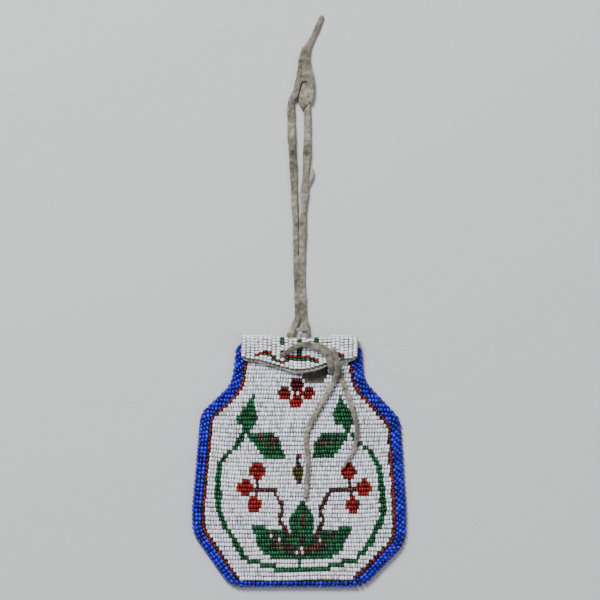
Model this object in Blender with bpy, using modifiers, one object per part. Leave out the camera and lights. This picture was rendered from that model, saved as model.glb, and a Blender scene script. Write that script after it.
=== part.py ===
"""Beaded hide medicine bag, lying on its back with its lace hanger laid out above it.

Two panels of hide are sewn together at the sides and the base. The back panel runs on over
the mouth and folds down as the flap. The front is covered with horizontal rows of beads and
the flap with vertical columns; a rolled edging of short bead wraps runs round the sides and
the base. Metres, +X to the right, +Y towards the hanger, +Z out of the beaded front; the
origin is under the middle of the bag, on the plane that its back lies on.
"""
import math

import bmesh
import bpy
import numpy as np
from mathutils import Vector

MM = 0.001
GAP = 0.3 * MM                    # clearance between pieces that would touch

# Beads and hide
HIDE = 1.1 * MM                   # thickness of the hide
BEAD = 1.8 * MM                   # bead diameter, the height of the beading over the hide
ROW_PITCH = 1.805 * MM            # from one row of the front to the next
COLUMN_PITCH = 1.825 * MM         # from one column of the flap to the next
FURROW = 0.5 * MM                 # how far the groove between two rows lies below their crowns

# Outline of the front hide: its width at each level, and the level's height over the base edge
NECK_WIDTH = 48.4 * MM
WAIST_WIDTH = 51.6 * MM
SHOULDER_WIDTH = 80.4 * MM
BELLY_WIDTH = 86.4 * MM
BASE_WIDTH = 54.4 * MM
WAIST_HEIGHT = 84.0 * MM
SHOULDER_HEIGHT = 69.5 * MM
BELLY_HEIGHT = 31.3 * MM
CORNER_HEIGHT = 19.4 * MM
MOUTH_HEIGHT = 98.0 * MM          # upper edge of the front panel
EDGING_RISE = 2.0 * MM            # from the mouth to the upper ends of the rolled edging
FOLD_RISE = 6.5 * MM              # from the mouth to the outermost line of the fold over it
EDGING_HEIGHT = MOUTH_HEIGHT + EDGING_RISE
FOLD_HEIGHT = MOUTH_HEIGHT + FOLD_RISE
MOUTH_MARGIN = 2.0 * MM           # bare hide over the last row, at least
FIELD_ROWS = int((MOUTH_HEIGHT - MOUTH_MARGIN) / ROW_PITCH)

# The hide was cut by hand, so the right side is not quite the left one mirrored:
# how far each level's middle lies to the right, and its right end lies above its left end
WAIST_SHIFT, WAIST_SKEW = -0.4 * MM, 1.5 * MM
SHOULDER_SHIFT, SHOULDER_SKEW = 0.7 * MM, -2.3 * MM
BELLY_SHIFT = 0.1 * MM
CORNER_SKEW = -4.2 * MM
BASE_SHIFT = -0.8 * MM

# Radii of the outline's corners
WAIST_RADIUS = 14.0 * MM
SHOULDER_RADIUS = 6.0 * MM
BELLY_RADIUS = 40.0 * MM
CORNER_RADIUS = 11.0 * MM
BASE_RADIUS = 7.0 * MM
ARC_STEP = 16                     # degrees between two points of an arc
PANEL_STEP = 1.4 * MM             # least distance between two cross lines of a hide
CUT_REACH = 5.0 * MM              # how far cutters reach past what they cut

# Bulge of the empty front over the pocket, and the room that the flap keeps over the front
BULGE = 2.5 * MM
FLAP_CLEAR = 0.5 * MM

# Rolled edging
ROLL_OUT = 3.05 * MM              # how far the roll stands out past the hide's edge
ROLL_PITCH = 1.8 * MM             # from one wrap to the next
LANE_STEP = 3                     # half wraps between two sections of the smooth red lanes
BLUE_REACH = 1.2 * MM             # how far the blue beads reach in over the front
RED_REACH = 2.55 * MM             # how far the red bead at each wrap's inner end reaches in
BASE_CORNER = 3.2 * MM            # the red lanes end this far over the base edge
ROLL_CHAMFER = (0.66, 0.7 * MM)   # share of the roll where it turns down, and its drop there
ROLL_FOOT = 0.9                   # share of the roll that touches the ground plane
ROLL_HOLLOW = 0.42                # share of the roll that holds the hides' sewn edge
FIELD_INSET = RED_REACH + GAP     # where the rows begin at the sides

# Flap
FLAP_SHIFT = 0.3 * MM             # its middle lies this far to the right
FLAP_COLUMNS = round(NECK_WIDTH / COLUMN_PITCH)
FLAP_MARGIN = 0.3 * MM            # bare hide beside the outermost columns
HEM_BORDER = 0.9 * MM             # bare hide between the beading and the cut edge
FLAP_WIDTH = FLAP_COLUMNS * COLUMN_PITCH + 2 * FLAP_MARGIN
HEM_SIDE = 9.8 * MM               # depth of the flap at its sides, from the fold
HEM_MIDDLE = 14.9 * MM            # depth of the flap in its middle
HEM_SPREAD = 13.5 * MM            # half width of the deeper middle
HEM_CORNER = 3.0 * MM             # rounding of its two corners
HEM_LIFT = 2.6 * MM               # the hem stands up here, over the tie lace
HEM_LIFT_X = 8.5 * MM
HEM_LIFT_SPREAD = 9.0 * MM
FOLD_START = 25                   # degrees round the fold, from outermost, where the beads begin
FOLD_STATION = 58                 # degrees round the fold of the next cross line

# Pattern of the front, measured from its own middle line, which wanders a little
MIDDLE_LINE = [(0.0, 0.5), (24.0, 1.5), (40.0, 0.7), (60.0, -0.45), (80.0, -0.95)]  # height, x
PATTERN_LIFT = 1.3 * MM           # the pattern's lowest level over the base edge
VINE_MARGIN = 8.3 * MM            # from the vine's widest part to the side of the belly
DRAWN_HALF = 34.9                 # half width of the vine in the lists of points below
PATTERN_SCALE = (BELLY_WIDTH / 2 - VINE_MARGIN) / DRAWN_HALF    # for 1 mm as drawn
FLOWER_HEIGHT = 79.9 * MM
FLOWER_WIDTH = 15.4 * MM
FLOWER_LENGTH = 13.4 * MM
VINE_WIDTH = 2.5 * MM
BERRY_DIAMETER = 5.9 * MM
BERRY_SPREAD = 19.9               # from the middle line to each joint of the stems, as drawn
BERRY_SHIFT = 1.0                 # both joints lie this far to the right, as drawn
BERRY_HEIGHT = 39.0 * MM
STEM_WIDTH = 1.2 * MM
ACORN_WIDTH = 4.5 * MM
ACORN_LENGTH = 6.6 * MM
ACORN_HEIGHT = 45.0 * MM
ACORN_SHIFT = -0.8                # it lies this far from the middle line, as drawn
ACORN_STEM = [(0.2, -0.5), (-0.5, 3.0)]        # from the top of the acorn, in mm

# Unbeaded window of the front for the tie lace: x and depth under the mouth, in mm
WINDOW = [(2.4, 13.0), (9.6, 13.0), (11.4, 11.0), (12.8, 9.8), (14.0, 8.1), (14.6, 5.4),
          (2.4, 5.4)]
SLIT_SPOTS = [(4.9, 10.8), (7.9, 10.8)]
WINDOW_SLIT = (0.8 * MM, 2.0 * MM)
TIE_HOLE = (-5.8, 7.2)            # hole in the flap: x and depth under the fold, in mm
TIE_HOLE_ROOM = (3.6 * MM, 1.4 * MM)           # of that hole round the tie lace
FOLD_HOLE_DEPTH = 4.0 * MM        # length of the cutter through the fold

# Laces
LACE = 2.6 * MM                   # hanger lace
TIE = 2.1 * MM                    # tie lace
KNOT = 2.8 * MM
LACE_SIT = 0.1 * MM               # air under the laces, which lie on the ground plane

# Levels that follow
FRONT_Z = 2 * HIDE + GAP          # outer face of the front hide at its margin
EDGE_Z = FRONT_Z + BEAD           # crown of the edging and of the first rows
FOLD_RADIUS = (EDGE_Z + FLAP_CLEAR + HIDE) / 2
FOLD_KNOBS = (FOLD_RADIUS + BEAD) * math.cos(math.radians(FOLD_START)) - FOLD_RADIUS
BASE_Y = (ROLL_OUT - FOLD_HEIGHT - FOLD_KNOBS) / 2
MOUTH_Y = BASE_Y + MOUTH_HEIGHT
FOLD_Y = BASE_Y + FOLD_HEIGHT
FOLD_CENTRE_Y = FOLD_Y - FOLD_RADIUS

COLOURS = {                       # linear red, green, blue
    "hide": (0.30, 0.24, 0.16),
    "lace": (0.33, 0.29, 0.23),
    "white": (0.72, 0.76, 0.80),
    "blue": (0.02, 0.03, 0.45),
    "brick": (0.16, 0.02, 0.01),
    "red": (0.35, 0.01, 0.01),
    "berry": (0.50, 0.02, 0.01),
    "green": (0.01, 0.08, 0.03),
    "olive": (0.09, 0.07, 0.01),
    "dark": (0.02, 0.01, 0.015),
}
BEAD_ROUGHNESS = 0.25
HIDE_ROUGHNESS = 0.9


def clear_scene():
    """Remove every object of the open scene."""
    for obj in list(bpy.data.objects):
        bpy.data.objects.remove(obj, do_unlink=True)


def new_collection(name):
    """Link a new collection to the scene and return it."""
    collection = bpy.data.collections.new(name)
    bpy.context.scene.collection.children.link(collection)
    return collection


def add_material(obj, colour):
    """Give the object its own Principled material in one of the named colours."""
    material = bpy.data.materials.new(obj.name + "_" + colour)
    material.use_nodes = True
    shader = material.node_tree.nodes["Principled BSDF"]
    shader.inputs["Base Color"].default_value = (*COLOURS[colour], 1.0)
    rough = HIDE_ROUGHNESS if colour in ("hide", "lace") else BEAD_ROUGHNESS
    shader.inputs["Roughness"].default_value = rough
    shader.inputs["Metallic"].default_value = 0.0
    obj.data.materials.append(material)


def add_object(name, mesh, colour=None):
    """Make an object of a mesh: a part of the bag with a colour, or a cutter without one."""
    obj = bpy.data.objects.new(name, mesh)
    if colour:
        PARTS.objects.link(obj)
        add_material(obj, colour)
    else:
        CUTTERS.objects.link(obj)
        obj.hide_render = True
        obj.display_type = "WIRE"
    return obj


def mesh_of(name, points, faces):
    """Mesh from an array of points and a list of faces, with its normals turned outwards."""
    mesh = bpy.data.meshes.new(name)
    mesh.from_pydata([tuple(p) for p in points], [], [tuple(f) for f in faces])
    bm = bmesh.new()
    bm.from_mesh(mesh)
    bmesh.ops.recalc_face_normals(bm, faces=bm.faces[:])
    bm.to_mesh(mesh)
    bm.free()
    mesh.shade_smooth()
    mesh.set_sharp_from_angle(angle=math.radians(50))
    return mesh


def slab(name, top, bottom):
    """Closed mesh between two grids of points with the same rows and columns."""
    rows, columns = top.shape[:2]
    points = np.concatenate([top.reshape(-1, 3), bottom.reshape(-1, 3)])
    upper = np.arange(rows * columns).reshape(rows, columns)
    lower = upper + rows * columns
    faces = []
    for layer in (upper, lower):
        for j in range(rows - 1):
            for i in range(columns - 1):
                a, b = layer[j, i], layer[j, i + 1]
                c, d = layer[j + 1, i + 1], layer[j + 1, i]
                faces += [(a, b, c), (a, c, d)]
    rim = [(0, i) for i in range(columns)] + [(j, columns - 1) for j in range(1, rows)]
    rim += [(rows - 1, i) for i in range(columns - 2, -1, -1)]
    rim += [(j, 0) for j in range(rows - 2, 0, -1)]
    for here, after in zip(rim, rim[1:] + rim[:1]):
        faces.append((upper[here], upper[after], lower[after], lower[here]))
    return mesh_of(name, points, faces)


def prism(name, outline, low, high):
    """Upright prism over a closed outline of (x, y) points."""
    bm = bmesh.new()
    ring = [bm.verts.new((x, y, low)) for x, y in outline]
    face = bm.faces.new(ring)
    lifted = bmesh.ops.extrude_face_region(bm, geom=[face])["geom"]
    verts = [item for item in lifted if isinstance(item, bmesh.types.BMVert)]
    bmesh.ops.translate(bm, vec=(0, 0, high - low), verts=verts)
    bmesh.ops.recalc_face_normals(bm, faces=bm.faces[:])
    mesh = bpy.data.meshes.new(name)
    bm.to_mesh(mesh)
    bm.free()
    return mesh


def boolean(obj, cutter, operation):
    """Add a Boolean of the object with a cutter."""
    modifier = obj.modifiers.new(cutter.name, "BOOLEAN")
    modifier.operation = operation
    modifier.solver = "EXACT"
    modifier.object = cutter


def smooth_route(points, spacing, closed=False):
    """Even points along the smooth curve through the given ones (Catmull-Rom)."""
    points = np.array(points, dtype=float)
    if closed:
        padded = np.vstack([points[-1], points, points[:2]])
    else:
        first = 2 * points[0] - points[1]
        last = 2 * points[-1] - points[-2]
        padded = np.vstack([first, points, last])
    t = np.linspace(0, 1, 24, endpoint=False)[:, None]
    pieces = []
    for p0, p1, p2, p3 in zip(padded, padded[1:], padded[2:], padded[3:]):
        bend = 2 * p0 - 5 * p1 + 4 * p2 - p3
        twist = 3 * p1 - p0 - 3 * p2 + p3
        pieces.append(0.5 * (2 * p1 + (p2 - p0) * t + bend * t ** 2 + twist * t ** 3))
    pieces.append(padded[-2][None, :])
    fine = np.concatenate(pieces)
    travelled = np.append(0, np.cumsum(np.linalg.norm(np.diff(fine, axis=0), axis=1)))
    count = max(3, round(travelled[-1] / spacing) + 1)
    places = np.linspace(0, travelled[-1], count)
    even = [np.interp(places, travelled, fine[:, k]) for k in range(fine.shape[1])]
    even = np.array(even).T
    return even[:-1] if closed else even


def side_normals(points):
    """Unit normals to the left of the direction of travel, one for each point of a line."""
    along = np.gradient(points, axis=0)
    along /= np.linalg.norm(along, axis=1)[:, None]
    return np.column_stack([-along[:, 1], along[:, 0]])


def hide_corners(side_inset, base_inset):
    """Corners and radii of the outline, from the left neck down, round and up to the right.

    Each straight run is moved inwards by its own inset, and the moved runs are crossed again.
    """
    levels = [
        (NECK_WIDTH, EDGING_HEIGHT, 0, 0, WAIST_RADIUS),
        (WAIST_WIDTH, WAIST_HEIGHT, WAIST_SHIFT, WAIST_SKEW, WAIST_RADIUS),
        (SHOULDER_WIDTH, SHOULDER_HEIGHT, SHOULDER_SHIFT, SHOULDER_SKEW, SHOULDER_RADIUS),
        (BELLY_WIDTH, BELLY_HEIGHT, BELLY_SHIFT, 0, BELLY_RADIUS),
        (BELLY_WIDTH, CORNER_HEIGHT, BELLY_SHIFT, CORNER_SKEW, CORNER_RADIUS),
        (BASE_WIDTH, 0, BASE_SHIFT, 0, BASE_RADIUS),
    ]
    left = [(s - w / 2, BASE_Y + h - k / 2) for w, h, s, k, r in levels]
    right = [(s + w / 2, BASE_Y + h + k / 2) for w, h, s, k, r in levels]
    corners = np.array(left + right[::-1])
    radii = [level[4] for level in levels]
    radii = radii + radii[::-1]
    along = np.diff(corners, axis=0)
    along /= np.linalg.norm(along, axis=1)[:, None]
    inward = np.column_stack([-along[:, 1], along[:, 0]])
    insets = np.full(len(along), side_inset)
    insets[len(left) - 1] = base_inset
    starts = corners[:-1] + inward * insets[:, None]
    moved = [starts[0]]
    for k in range(1, len(along)):
        matrix = np.array([along[k - 1], -along[k]]).T
        reach = np.linalg.solve(matrix, starts[k] - starts[k - 1])
        moved.append(starts[k - 1] + along[k - 1] * reach[0])
    moved.append(corners[-1] + inward[-1] * insets[-1])
    return np.array(moved), radii


def rounded(corners, radii, side_inset=0.0):
    """Open line through the corners, each one rounded by an arc of its radius."""
    line = [corners[0]]
    for k in range(1, len(corners) - 1):
        before, here, after = (Vector(corners[n]) for n in (k - 1, k, k + 1))
        into = (here - before).normalized()
        out = (after - here).normalized()
        turn = into.angle(out)
        side = 1 if into.cross(out) > 0 else -1
        radius = max(1.0 * MM, radii[k] - side * side_inset)
        longest = 0.48 * min((here - before).length, (after - here).length)
        reach = min(radius * math.tan(turn / 2), longest)
        radius = reach / math.tan(turn / 2)
        centre = here - into * reach + Vector((-into.y, into.x)) * radius * side
        steps = max(1, math.ceil(math.degrees(turn) / ARC_STEP))
        start = here - into * reach - centre
        for n in range(steps + 1):
            angle = side * turn * n / steps
            spoke = Vector((start.x * math.cos(angle) - start.y * math.sin(angle),
                            start.x * math.sin(angle) + start.y * math.cos(angle)))
            line.append(np.array(centre + spoke))
    line.append(corners[-1])
    return np.array(line)


HIDE_LINE = rounded(*hide_corners(0.0, 0.0))
FIELD_LINE = rounded(*hide_corners(FIELD_INSET, 0.0), FIELD_INSET)


def sides_at(line, y):
    """Left and right x of an outline at the heights y."""
    low = np.argmin(line[:, 1] + np.abs(line[:, 0]) * 1e-6)
    half = low if line[low, 0] < 0 else low - 1
    left = line[:half + 1][::-1]
    right = line[half + 1:]
    return np.interp(y, left[:, 1], left[:, 0]), np.interp(y, right[:, 1], right[:, 0])


def across(line, y, share):
    """x at a share from -1, the left side, to 1, the right side, of an outline."""
    left, right = sides_at(line, y)
    return np.where(share < 0, -share * left, share * right)


def bulge(x, y):
    """Height of the soft bulge: nothing at the field's edge, most in its middle."""
    left, right = sides_at(FIELD_LINE, y)
    share = np.clip(np.where(x < 0, x / left, x / right), -1, 1)
    rise = np.clip((y - BASE_Y) / (MOUTH_Y - BASE_Y), 0, 1)
    return BULGE * (1 - share ** 2) * (1 - (2 * rise - 1) ** 2)


def hem_y(x):
    """Height of the flap's cut edge: deeper in the middle, rounded at both corners."""
    across_flap = x - FLAP_SHIFT
    middle = (HEM_MIDDLE - HEM_SIDE) * np.exp(-(across_flap / HEM_SPREAD) ** 2)
    corner = np.clip((np.abs(across_flap) - FLAP_WIDTH / 2 + HEM_CORNER) / HEM_CORNER, 0, 1)
    return FOLD_Y - HEM_SIDE - middle + HEM_CORNER * (1 - np.sqrt(1 - corner ** 2 * 0.98))


def flap_z(x, y):
    """Outer face of the flap's hide: it follows the front and stands up over the tie."""
    deep = np.clip((FOLD_CENTRE_Y - y) / (HEM_MIDDLE - FOLD_RADIUS), 0, 1.2)
    lift = HEM_LIFT * np.exp(-((x - HEM_LIFT_X) / HEM_LIFT_SPREAD) ** 2) * deep ** 2
    return 2 * FOLD_RADIUS + bulge(x, y) + lift


def place(points, side=1):
    """Points of the pattern on the front, from points as drawn.

    They are drawn in mm as (from the middle line, over the pattern's lowest level), and their
    distances from the middle line grow with the belly.
    """
    heights, middles = zip(*MIDDLE_LINE)
    return [(np.interp(h, heights, middles) * MM + side * x * PATTERN_SCALE,
             BASE_Y + PATTERN_LIFT + h * MM) for x, h in points]


def grown(outline, distance):
    """A closed outline moved outwards by a distance."""
    outline = np.array(outline)
    before = np.roll(outline, 1, axis=0)
    after = np.roll(outline, -1, axis=0)
    area = np.sum(before[:, 0] * outline[:, 1] - outline[:, 0] * before[:, 1])
    first = outline - before
    second = after - outline
    first /= np.linalg.norm(first, axis=1)[:, None]
    second /= np.linalg.norm(second, axis=1)[:, None]
    outward = np.column_stack([first[:, 1] + second[:, 1], -first[:, 0] - second[:, 0]])
    outward /= (1 + np.sum(first * second, axis=1))[:, None]
    return outline + outward * distance * (1 if area > 0 else -1)


def blob(points, side=1, spacing=2.2 * MM):
    """Smooth closed outline through a few points of the pattern."""
    return smooth_route(place(points, side), spacing, closed=True)


def band(route, width):
    """Outline of a band of beads along a line."""
    route = np.array(route)
    normals = side_normals(route)
    return np.concatenate([route + normals * width / 2, (route - normals * width / 2)[::-1]])


def oval(x, y, width, length, count=12):
    """Outline of an oval round a point."""
    angles = np.linspace(0, math.tau, count, endpoint=False)
    return np.column_stack([x + width / 2 * np.cos(angles), y + length / 2 * np.sin(angles)])


def flower_outline():
    """Four lobes: the radius swells and shrinks four times in one turn."""
    angles = np.linspace(0, math.tau, 32, endpoint=False)
    radius = 0.74 + 0.26 * np.cos(4 * angles)
    x, y = place([(0, FLOWER_HEIGHT / MM)])[0]
    return np.column_stack([x + FLOWER_WIDTH / 2 * radius * np.cos(angles),
                            y + FLOWER_LENGTH / 2 * radius * np.sin(angles)])


VINE = [(-23.4, 62.0), (-25.4, 58.1), (-28.3, 54.7), (-32.3, 51.3), (-34.3, 47.4), (-34.9, 38.3),
        (-34.9, 29.9), (-34.0, 24.5), (-30.9, 19.2), (-26.9, 13.8), (-22.8, 9.8), (-16.8, 7.4),
        (-10.8, 5.6), (0.0, 4.5), (10.8, 5.4), (16.8, 7.2), (22.8, 9.6), (25.8, 13.0),
        (30.2, 19.2), (33.0, 24.5), (34.5, 29.1), (34.5, 37.5), (34.2, 45.9), (32.8, 51.0),
        (29.4, 55.5), (25.8, 58.1), (24.0, 61.2)]
UPPER_LEAF = [(-19.1, 77.6), (-18.0, 73.2), (-17.0, 69.2), (-18.7, 66.3), (-20.8, 64.1),
              (-22.7, 64.1), (-25.0, 67.6), (-24.7, 70.2), (-22.0, 73.6)]
LOWER_LEAF = [(-22.6, 63.0), (-11.5, 63.1), (-8.5, 60.1), (-6.9, 55.5), (-6.3, 51.6), (-14.0, 51.4),
              (-17.4, 55.8), (-21.4, 59.7)]
CENTRE_LEAF = [(0.5, 33.8), (2.8, 29.1), (5.2, 24.1), (4.2, 19.0), (2.6, 13.5), (1.6, 8.7),
               (-1.4, 8.7), (-2.8, 13.5), (-4.4, 19.0), (-5.6, 24.1), (-2.6, 29.1)]
SIDE_LEAF = [(-21.1, 23.5), (-17.2, 22.2), (-7.3, 21.2), (-2.6, 15.3), (-0.8, 8.9), (-9.4, 8.9),
             (-16.9, 12.3), (-19.3, 17.8)]
BERRY_SPOTS = [(0.2, 6.9), (-5.9, 0.2), (-1.2, -7.4)]      # left group, from its joint
BERRY_TWIG = [(7.4, -0.2), (8.5, -3.4), (9.4, -5.4), (11.1, -9.9), (9.7, -13.0), (10.8, -16.0),
              (11.5, -19.4)]                               # left group, from its joint


def vine_outlines():
    """The vine's band, and the plant's stem that rises from it."""
    route = smooth_route(place(VINE), 4.0 * MM)
    stem = place([(-0.2, 4.6), (-0.2, 8.4)])
    return [band(route, VINE_WIDTH), band(stem, STEM_WIDTH)]


def berry_joint(side):
    """The point where the twigs of one group of berries meet."""
    return np.array(place([(BERRY_SHIFT + side * BERRY_SPREAD, BERRY_HEIGHT / MM)])[0])


def twig_outlines(side):
    """The upright twig between two berries, and the one that bends down to the plant."""
    joint = berry_joint(side)
    flip = np.array([-side * MM, MM])
    upright = [joint + flip * np.array(spot) for spot in (BERRY_SPOTS[0], BERRY_SPOTS[2])]
    bent = [joint + flip * np.array(spot) for spot in [BERRY_SPOTS[1]] + BERRY_TWIG]
    return [band(upright, STEM_WIDTH), band(smooth_route(bent, 2.6 * MM), STEM_WIDTH)]


def motif_list():
    """Every coloured motif of the front: name, colour and outlines, foremost first."""
    acorn_x, acorn_y = place([(ACORN_SHIFT, ACORN_HEIGHT / MM)])[0]
    acorn_top = np.array([acorn_x, acorn_y + ACORN_LENGTH / 2])
    motifs = [("flower", "red", [flower_outline()])]
    for side, word in ((1, "left"), (-1, "right")):
        motifs.append(("upper_leaf_" + word, "green", [blob(UPPER_LEAF, side)]))
        motifs.append(("lower_leaf_" + word, "green", [blob(LOWER_LEAF, side)]))
    motifs.append(("plant_leaf_centre", "green", [blob(CENTRE_LEAF)]))
    for side, word in ((1, "left"), (-1, "right")):
        motifs.append(("plant_leaf_" + word, "green", [blob(SIDE_LEAF, side)]))
    for side, word in ((-1, "left"), (1, "right")):
        for spot, level in zip(BERRY_SPOTS, ("upper", "outer", "lower")):
            x, y = berry_joint(side) + np.array([-side * spot[0] * MM, spot[1] * MM])
            outline = oval(x, y, BERRY_DIAMETER, BERRY_DIAMETER)
            motifs.append((f"berry_{word}_{level}", "berry", [outline]))
        motifs.append(("berry_stem_" + word, "dark", twig_outlines(side)))
    motifs.append(("acorn", "olive", [oval(acorn_x, acorn_y, ACORN_WIDTH, ACORN_LENGTH, 10)]))
    stem = [acorn_top + np.array(point) * MM for point in ACORN_STEM]
    motifs.append(("acorn_stem", "dark", [band(stem, STEM_WIDTH)]))
    motifs.append(("vine", "green", vine_outlines()))
    return motifs


def union_cutter(name, outlines, low, high):
    """One cutter from one or more overlapping prisms."""
    cutter = add_object(name, prism(name, outlines[0], low, high))
    for number, outline in enumerate(outlines[1:]):
        extra_name = f"{name}_{number + 2}"
        extra = add_object(extra_name, prism(extra_name, outline, low, high))
        boolean(cutter, extra, "UNION")
    return cutter


FIELD_SHARES = np.array([-1, -0.7, -0.35, 0, 0.35, 0.7, 1])


def field_mesh(name, ridged=True):
    """Solid under the rows' top, with its ridges or smooth, closed far below it."""
    shares = FIELD_SHARES
    lines = np.arange(2 * FIELD_ROWS + 1)
    crown = np.where(lines % 2 == 1, BEAD, BEAD - FURROW)
    if not ridged:
        lines = np.linspace(0, 2 * FIELD_ROWS, 13)
        crown = np.full(len(lines), BEAD - FURROW / 3)
    y = BASE_Y + lines * ROW_PITCH / 2
    x = np.array([across(FIELD_LINE, y, s) for s in shares]).T
    y = np.repeat(y[:, None], len(shares), axis=1)
    height = FRONT_Z + bulge(x, y) + crown[:, None]
    top = np.stack([x, y, height], axis=2)
    bottom = np.stack([x, y, np.zeros_like(x)], axis=2)
    return slab(name, top, bottom)


def under_field_mesh(name):
    """Everything from far below up to the clearance over the front hide."""
    shares = FIELD_SHARES
    y = np.linspace(BASE_Y, MOUTH_Y, 13)
    y_out = y.copy()
    y_out[0] -= CUT_REACH
    x = np.array([across(FIELD_LINE, y, s) * (1.0 if abs(s) < 1 else 1.15) for s in shares]).T
    height = FRONT_Z + GAP + bulge(x, np.repeat(y[:, None], len(shares), axis=1))
    y_out = np.repeat(y_out[:, None], len(shares), axis=1)
    top = np.stack([x, y_out, height], axis=2)
    bottom = np.stack([x, y_out, np.full_like(x, -CUT_REACH)], axis=2)
    return slab(name, top, bottom)


def window_outline():
    """Unbeaded patch of the front, where the tie lace goes through; its top is covered."""
    return [(x * MM, MOUTH_Y - depth * MM) for x, depth in WINDOW]


def build_field():
    """The white rows, and each motif let into them."""
    high = FRONT_Z + BULGE + 2 * BEAD
    low = -CUT_REACH / 2
    under = add_object("cut_under_field", under_field_mesh("cut_under_field"))
    field = add_object("field_beads", field_mesh("field_beads"), "white")
    boolean(field, under, "DIFFERENCE")
    window = add_object("cut_window", prism("cut_window", window_outline(), low, high))
    boolean(field, window, "DIFFERENCE")
    motifs = motif_list()
    fronts = {"berry_stem_left": ["berry_left_", "plant_leaf_"],
              "berry_stem_right": ["berry_right_", "plant_leaf_"],
              "plant_leaf_left": ["plant_leaf_centre"],
              "plant_leaf_right": ["plant_leaf_centre"],
              "lower_leaf_left": ["upper_leaf_left"],
              "lower_leaf_right": ["upper_leaf_right"],
              "vine": ["plant_leaf_centre", "lower_leaf_"],
              "acorn_stem": ["acorn"]}
    holes = {}
    for name, colour, outlines in motifs:
        shape = union_cutter("shape_" + name, outlines, low, high)
        piece = add_object(name, field_mesh(name, ridged=False), colour)
        boolean(piece, shape, "INTERSECT")
        boolean(piece, under, "DIFFERENCE")
        for start in fronts.get(name, []):
            for other, hole in holes.items():
                if other.startswith(start):
                    boolean(piece, hole, "DIFFERENCE")
        wider = [grown(outline, GAP) for outline in outlines]
        holes[name] = union_cutter("hole_" + name, wider, low, high)
        boolean(field, holes[name], "DIFFERENCE")


def panel_rows():
    """Heights of the cross lines of a hide panel: close together at the rounded corners."""
    rows = np.concatenate([HIDE_LINE[:, 1], np.linspace(BASE_Y, MOUTH_Y, 9)])
    rows = np.sort(rows[rows <= MOUTH_Y + 1e-9])
    kept = [rows[0]]
    for y in rows[1:]:
        if y - kept[-1] > PANEL_STEP:
            kept.append(y)
    kept[-1] = MOUTH_Y
    return np.array(kept)


def open_grid(name, points):
    """Open surface through a grid of points."""
    rows, columns = points.shape[:2]
    index = np.arange(rows * columns).reshape(rows, columns)
    faces = [(index[j, i], index[j, i + 1], index[j + 1, i + 1], index[j + 1, i])
             for j in range(rows - 1) for i in range(columns - 1)]
    mesh = bpy.data.meshes.new(name)
    mesh.from_pydata([tuple(p) for p in points.reshape(-1, 3)], [], faces)
    mesh.shade_smooth()
    return mesh


def thicken(obj):
    """Give an outer hide face its thickness, inwards."""
    solidify = obj.modifiers.new("hide", "SOLIDIFY")
    solidify.thickness = HIDE
    solidify.offset = -1
    solidify.use_even_offset = True


def build_front_panel():
    """Front hide: it bulges over the pocket, and two short slits let the tie lace through."""
    shares = np.array([-1, -0.92, -0.7, -0.35, 0, 0.35, 0.7, 0.92, 1])
    y = panel_rows()
    x = np.array([across(HIDE_LINE, y, s) for s in shares]).T
    y = np.repeat(y[:, None], len(shares), axis=1)
    points = np.stack([x, y, FRONT_Z + bulge(x, y)], axis=2)
    panel = add_object("front_panel", open_grid("front_panel", points), "hide")
    thicken(panel)
    width, length = WINDOW_SLIT
    for number, (x, depth) in enumerate(SLIT_SPOTS):
        name = f"cut_slit_{number + 1}"
        outline = oval(x * MM, MOUTH_Y - depth * MM, width, length, 8)
        slit = add_object(name, prism(name, outline, 0.5 * GAP + HIDE, FRONT_Z + 2 * BULGE))
        boolean(panel, slit, "DIFFERENCE")


def flap_rows(x, border):
    """Points and normals down the flap at x: round the fold's outer half, then to the hem."""
    points = []
    normals = []
    for degrees in (FOLD_START, FOLD_STATION):
        angle = math.radians(degrees)
        outward = np.array([0, math.cos(angle), math.sin(angle)])
        points.append(np.array([x, FOLD_CENTRE_Y, FOLD_RADIUS]) + outward * FOLD_RADIUS)
        normals.append(outward)
    hem = hem_y(x) + border
    for share in np.linspace(0, 1, 5):
        y = FOLD_CENTRE_Y + (hem - FOLD_CENTRE_Y) * share
        points.append(np.array([x, y, flap_z(x, y)]))
        normals.append(np.array([0, 0, 1.0]))
    return np.array(points), np.array(normals)


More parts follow.
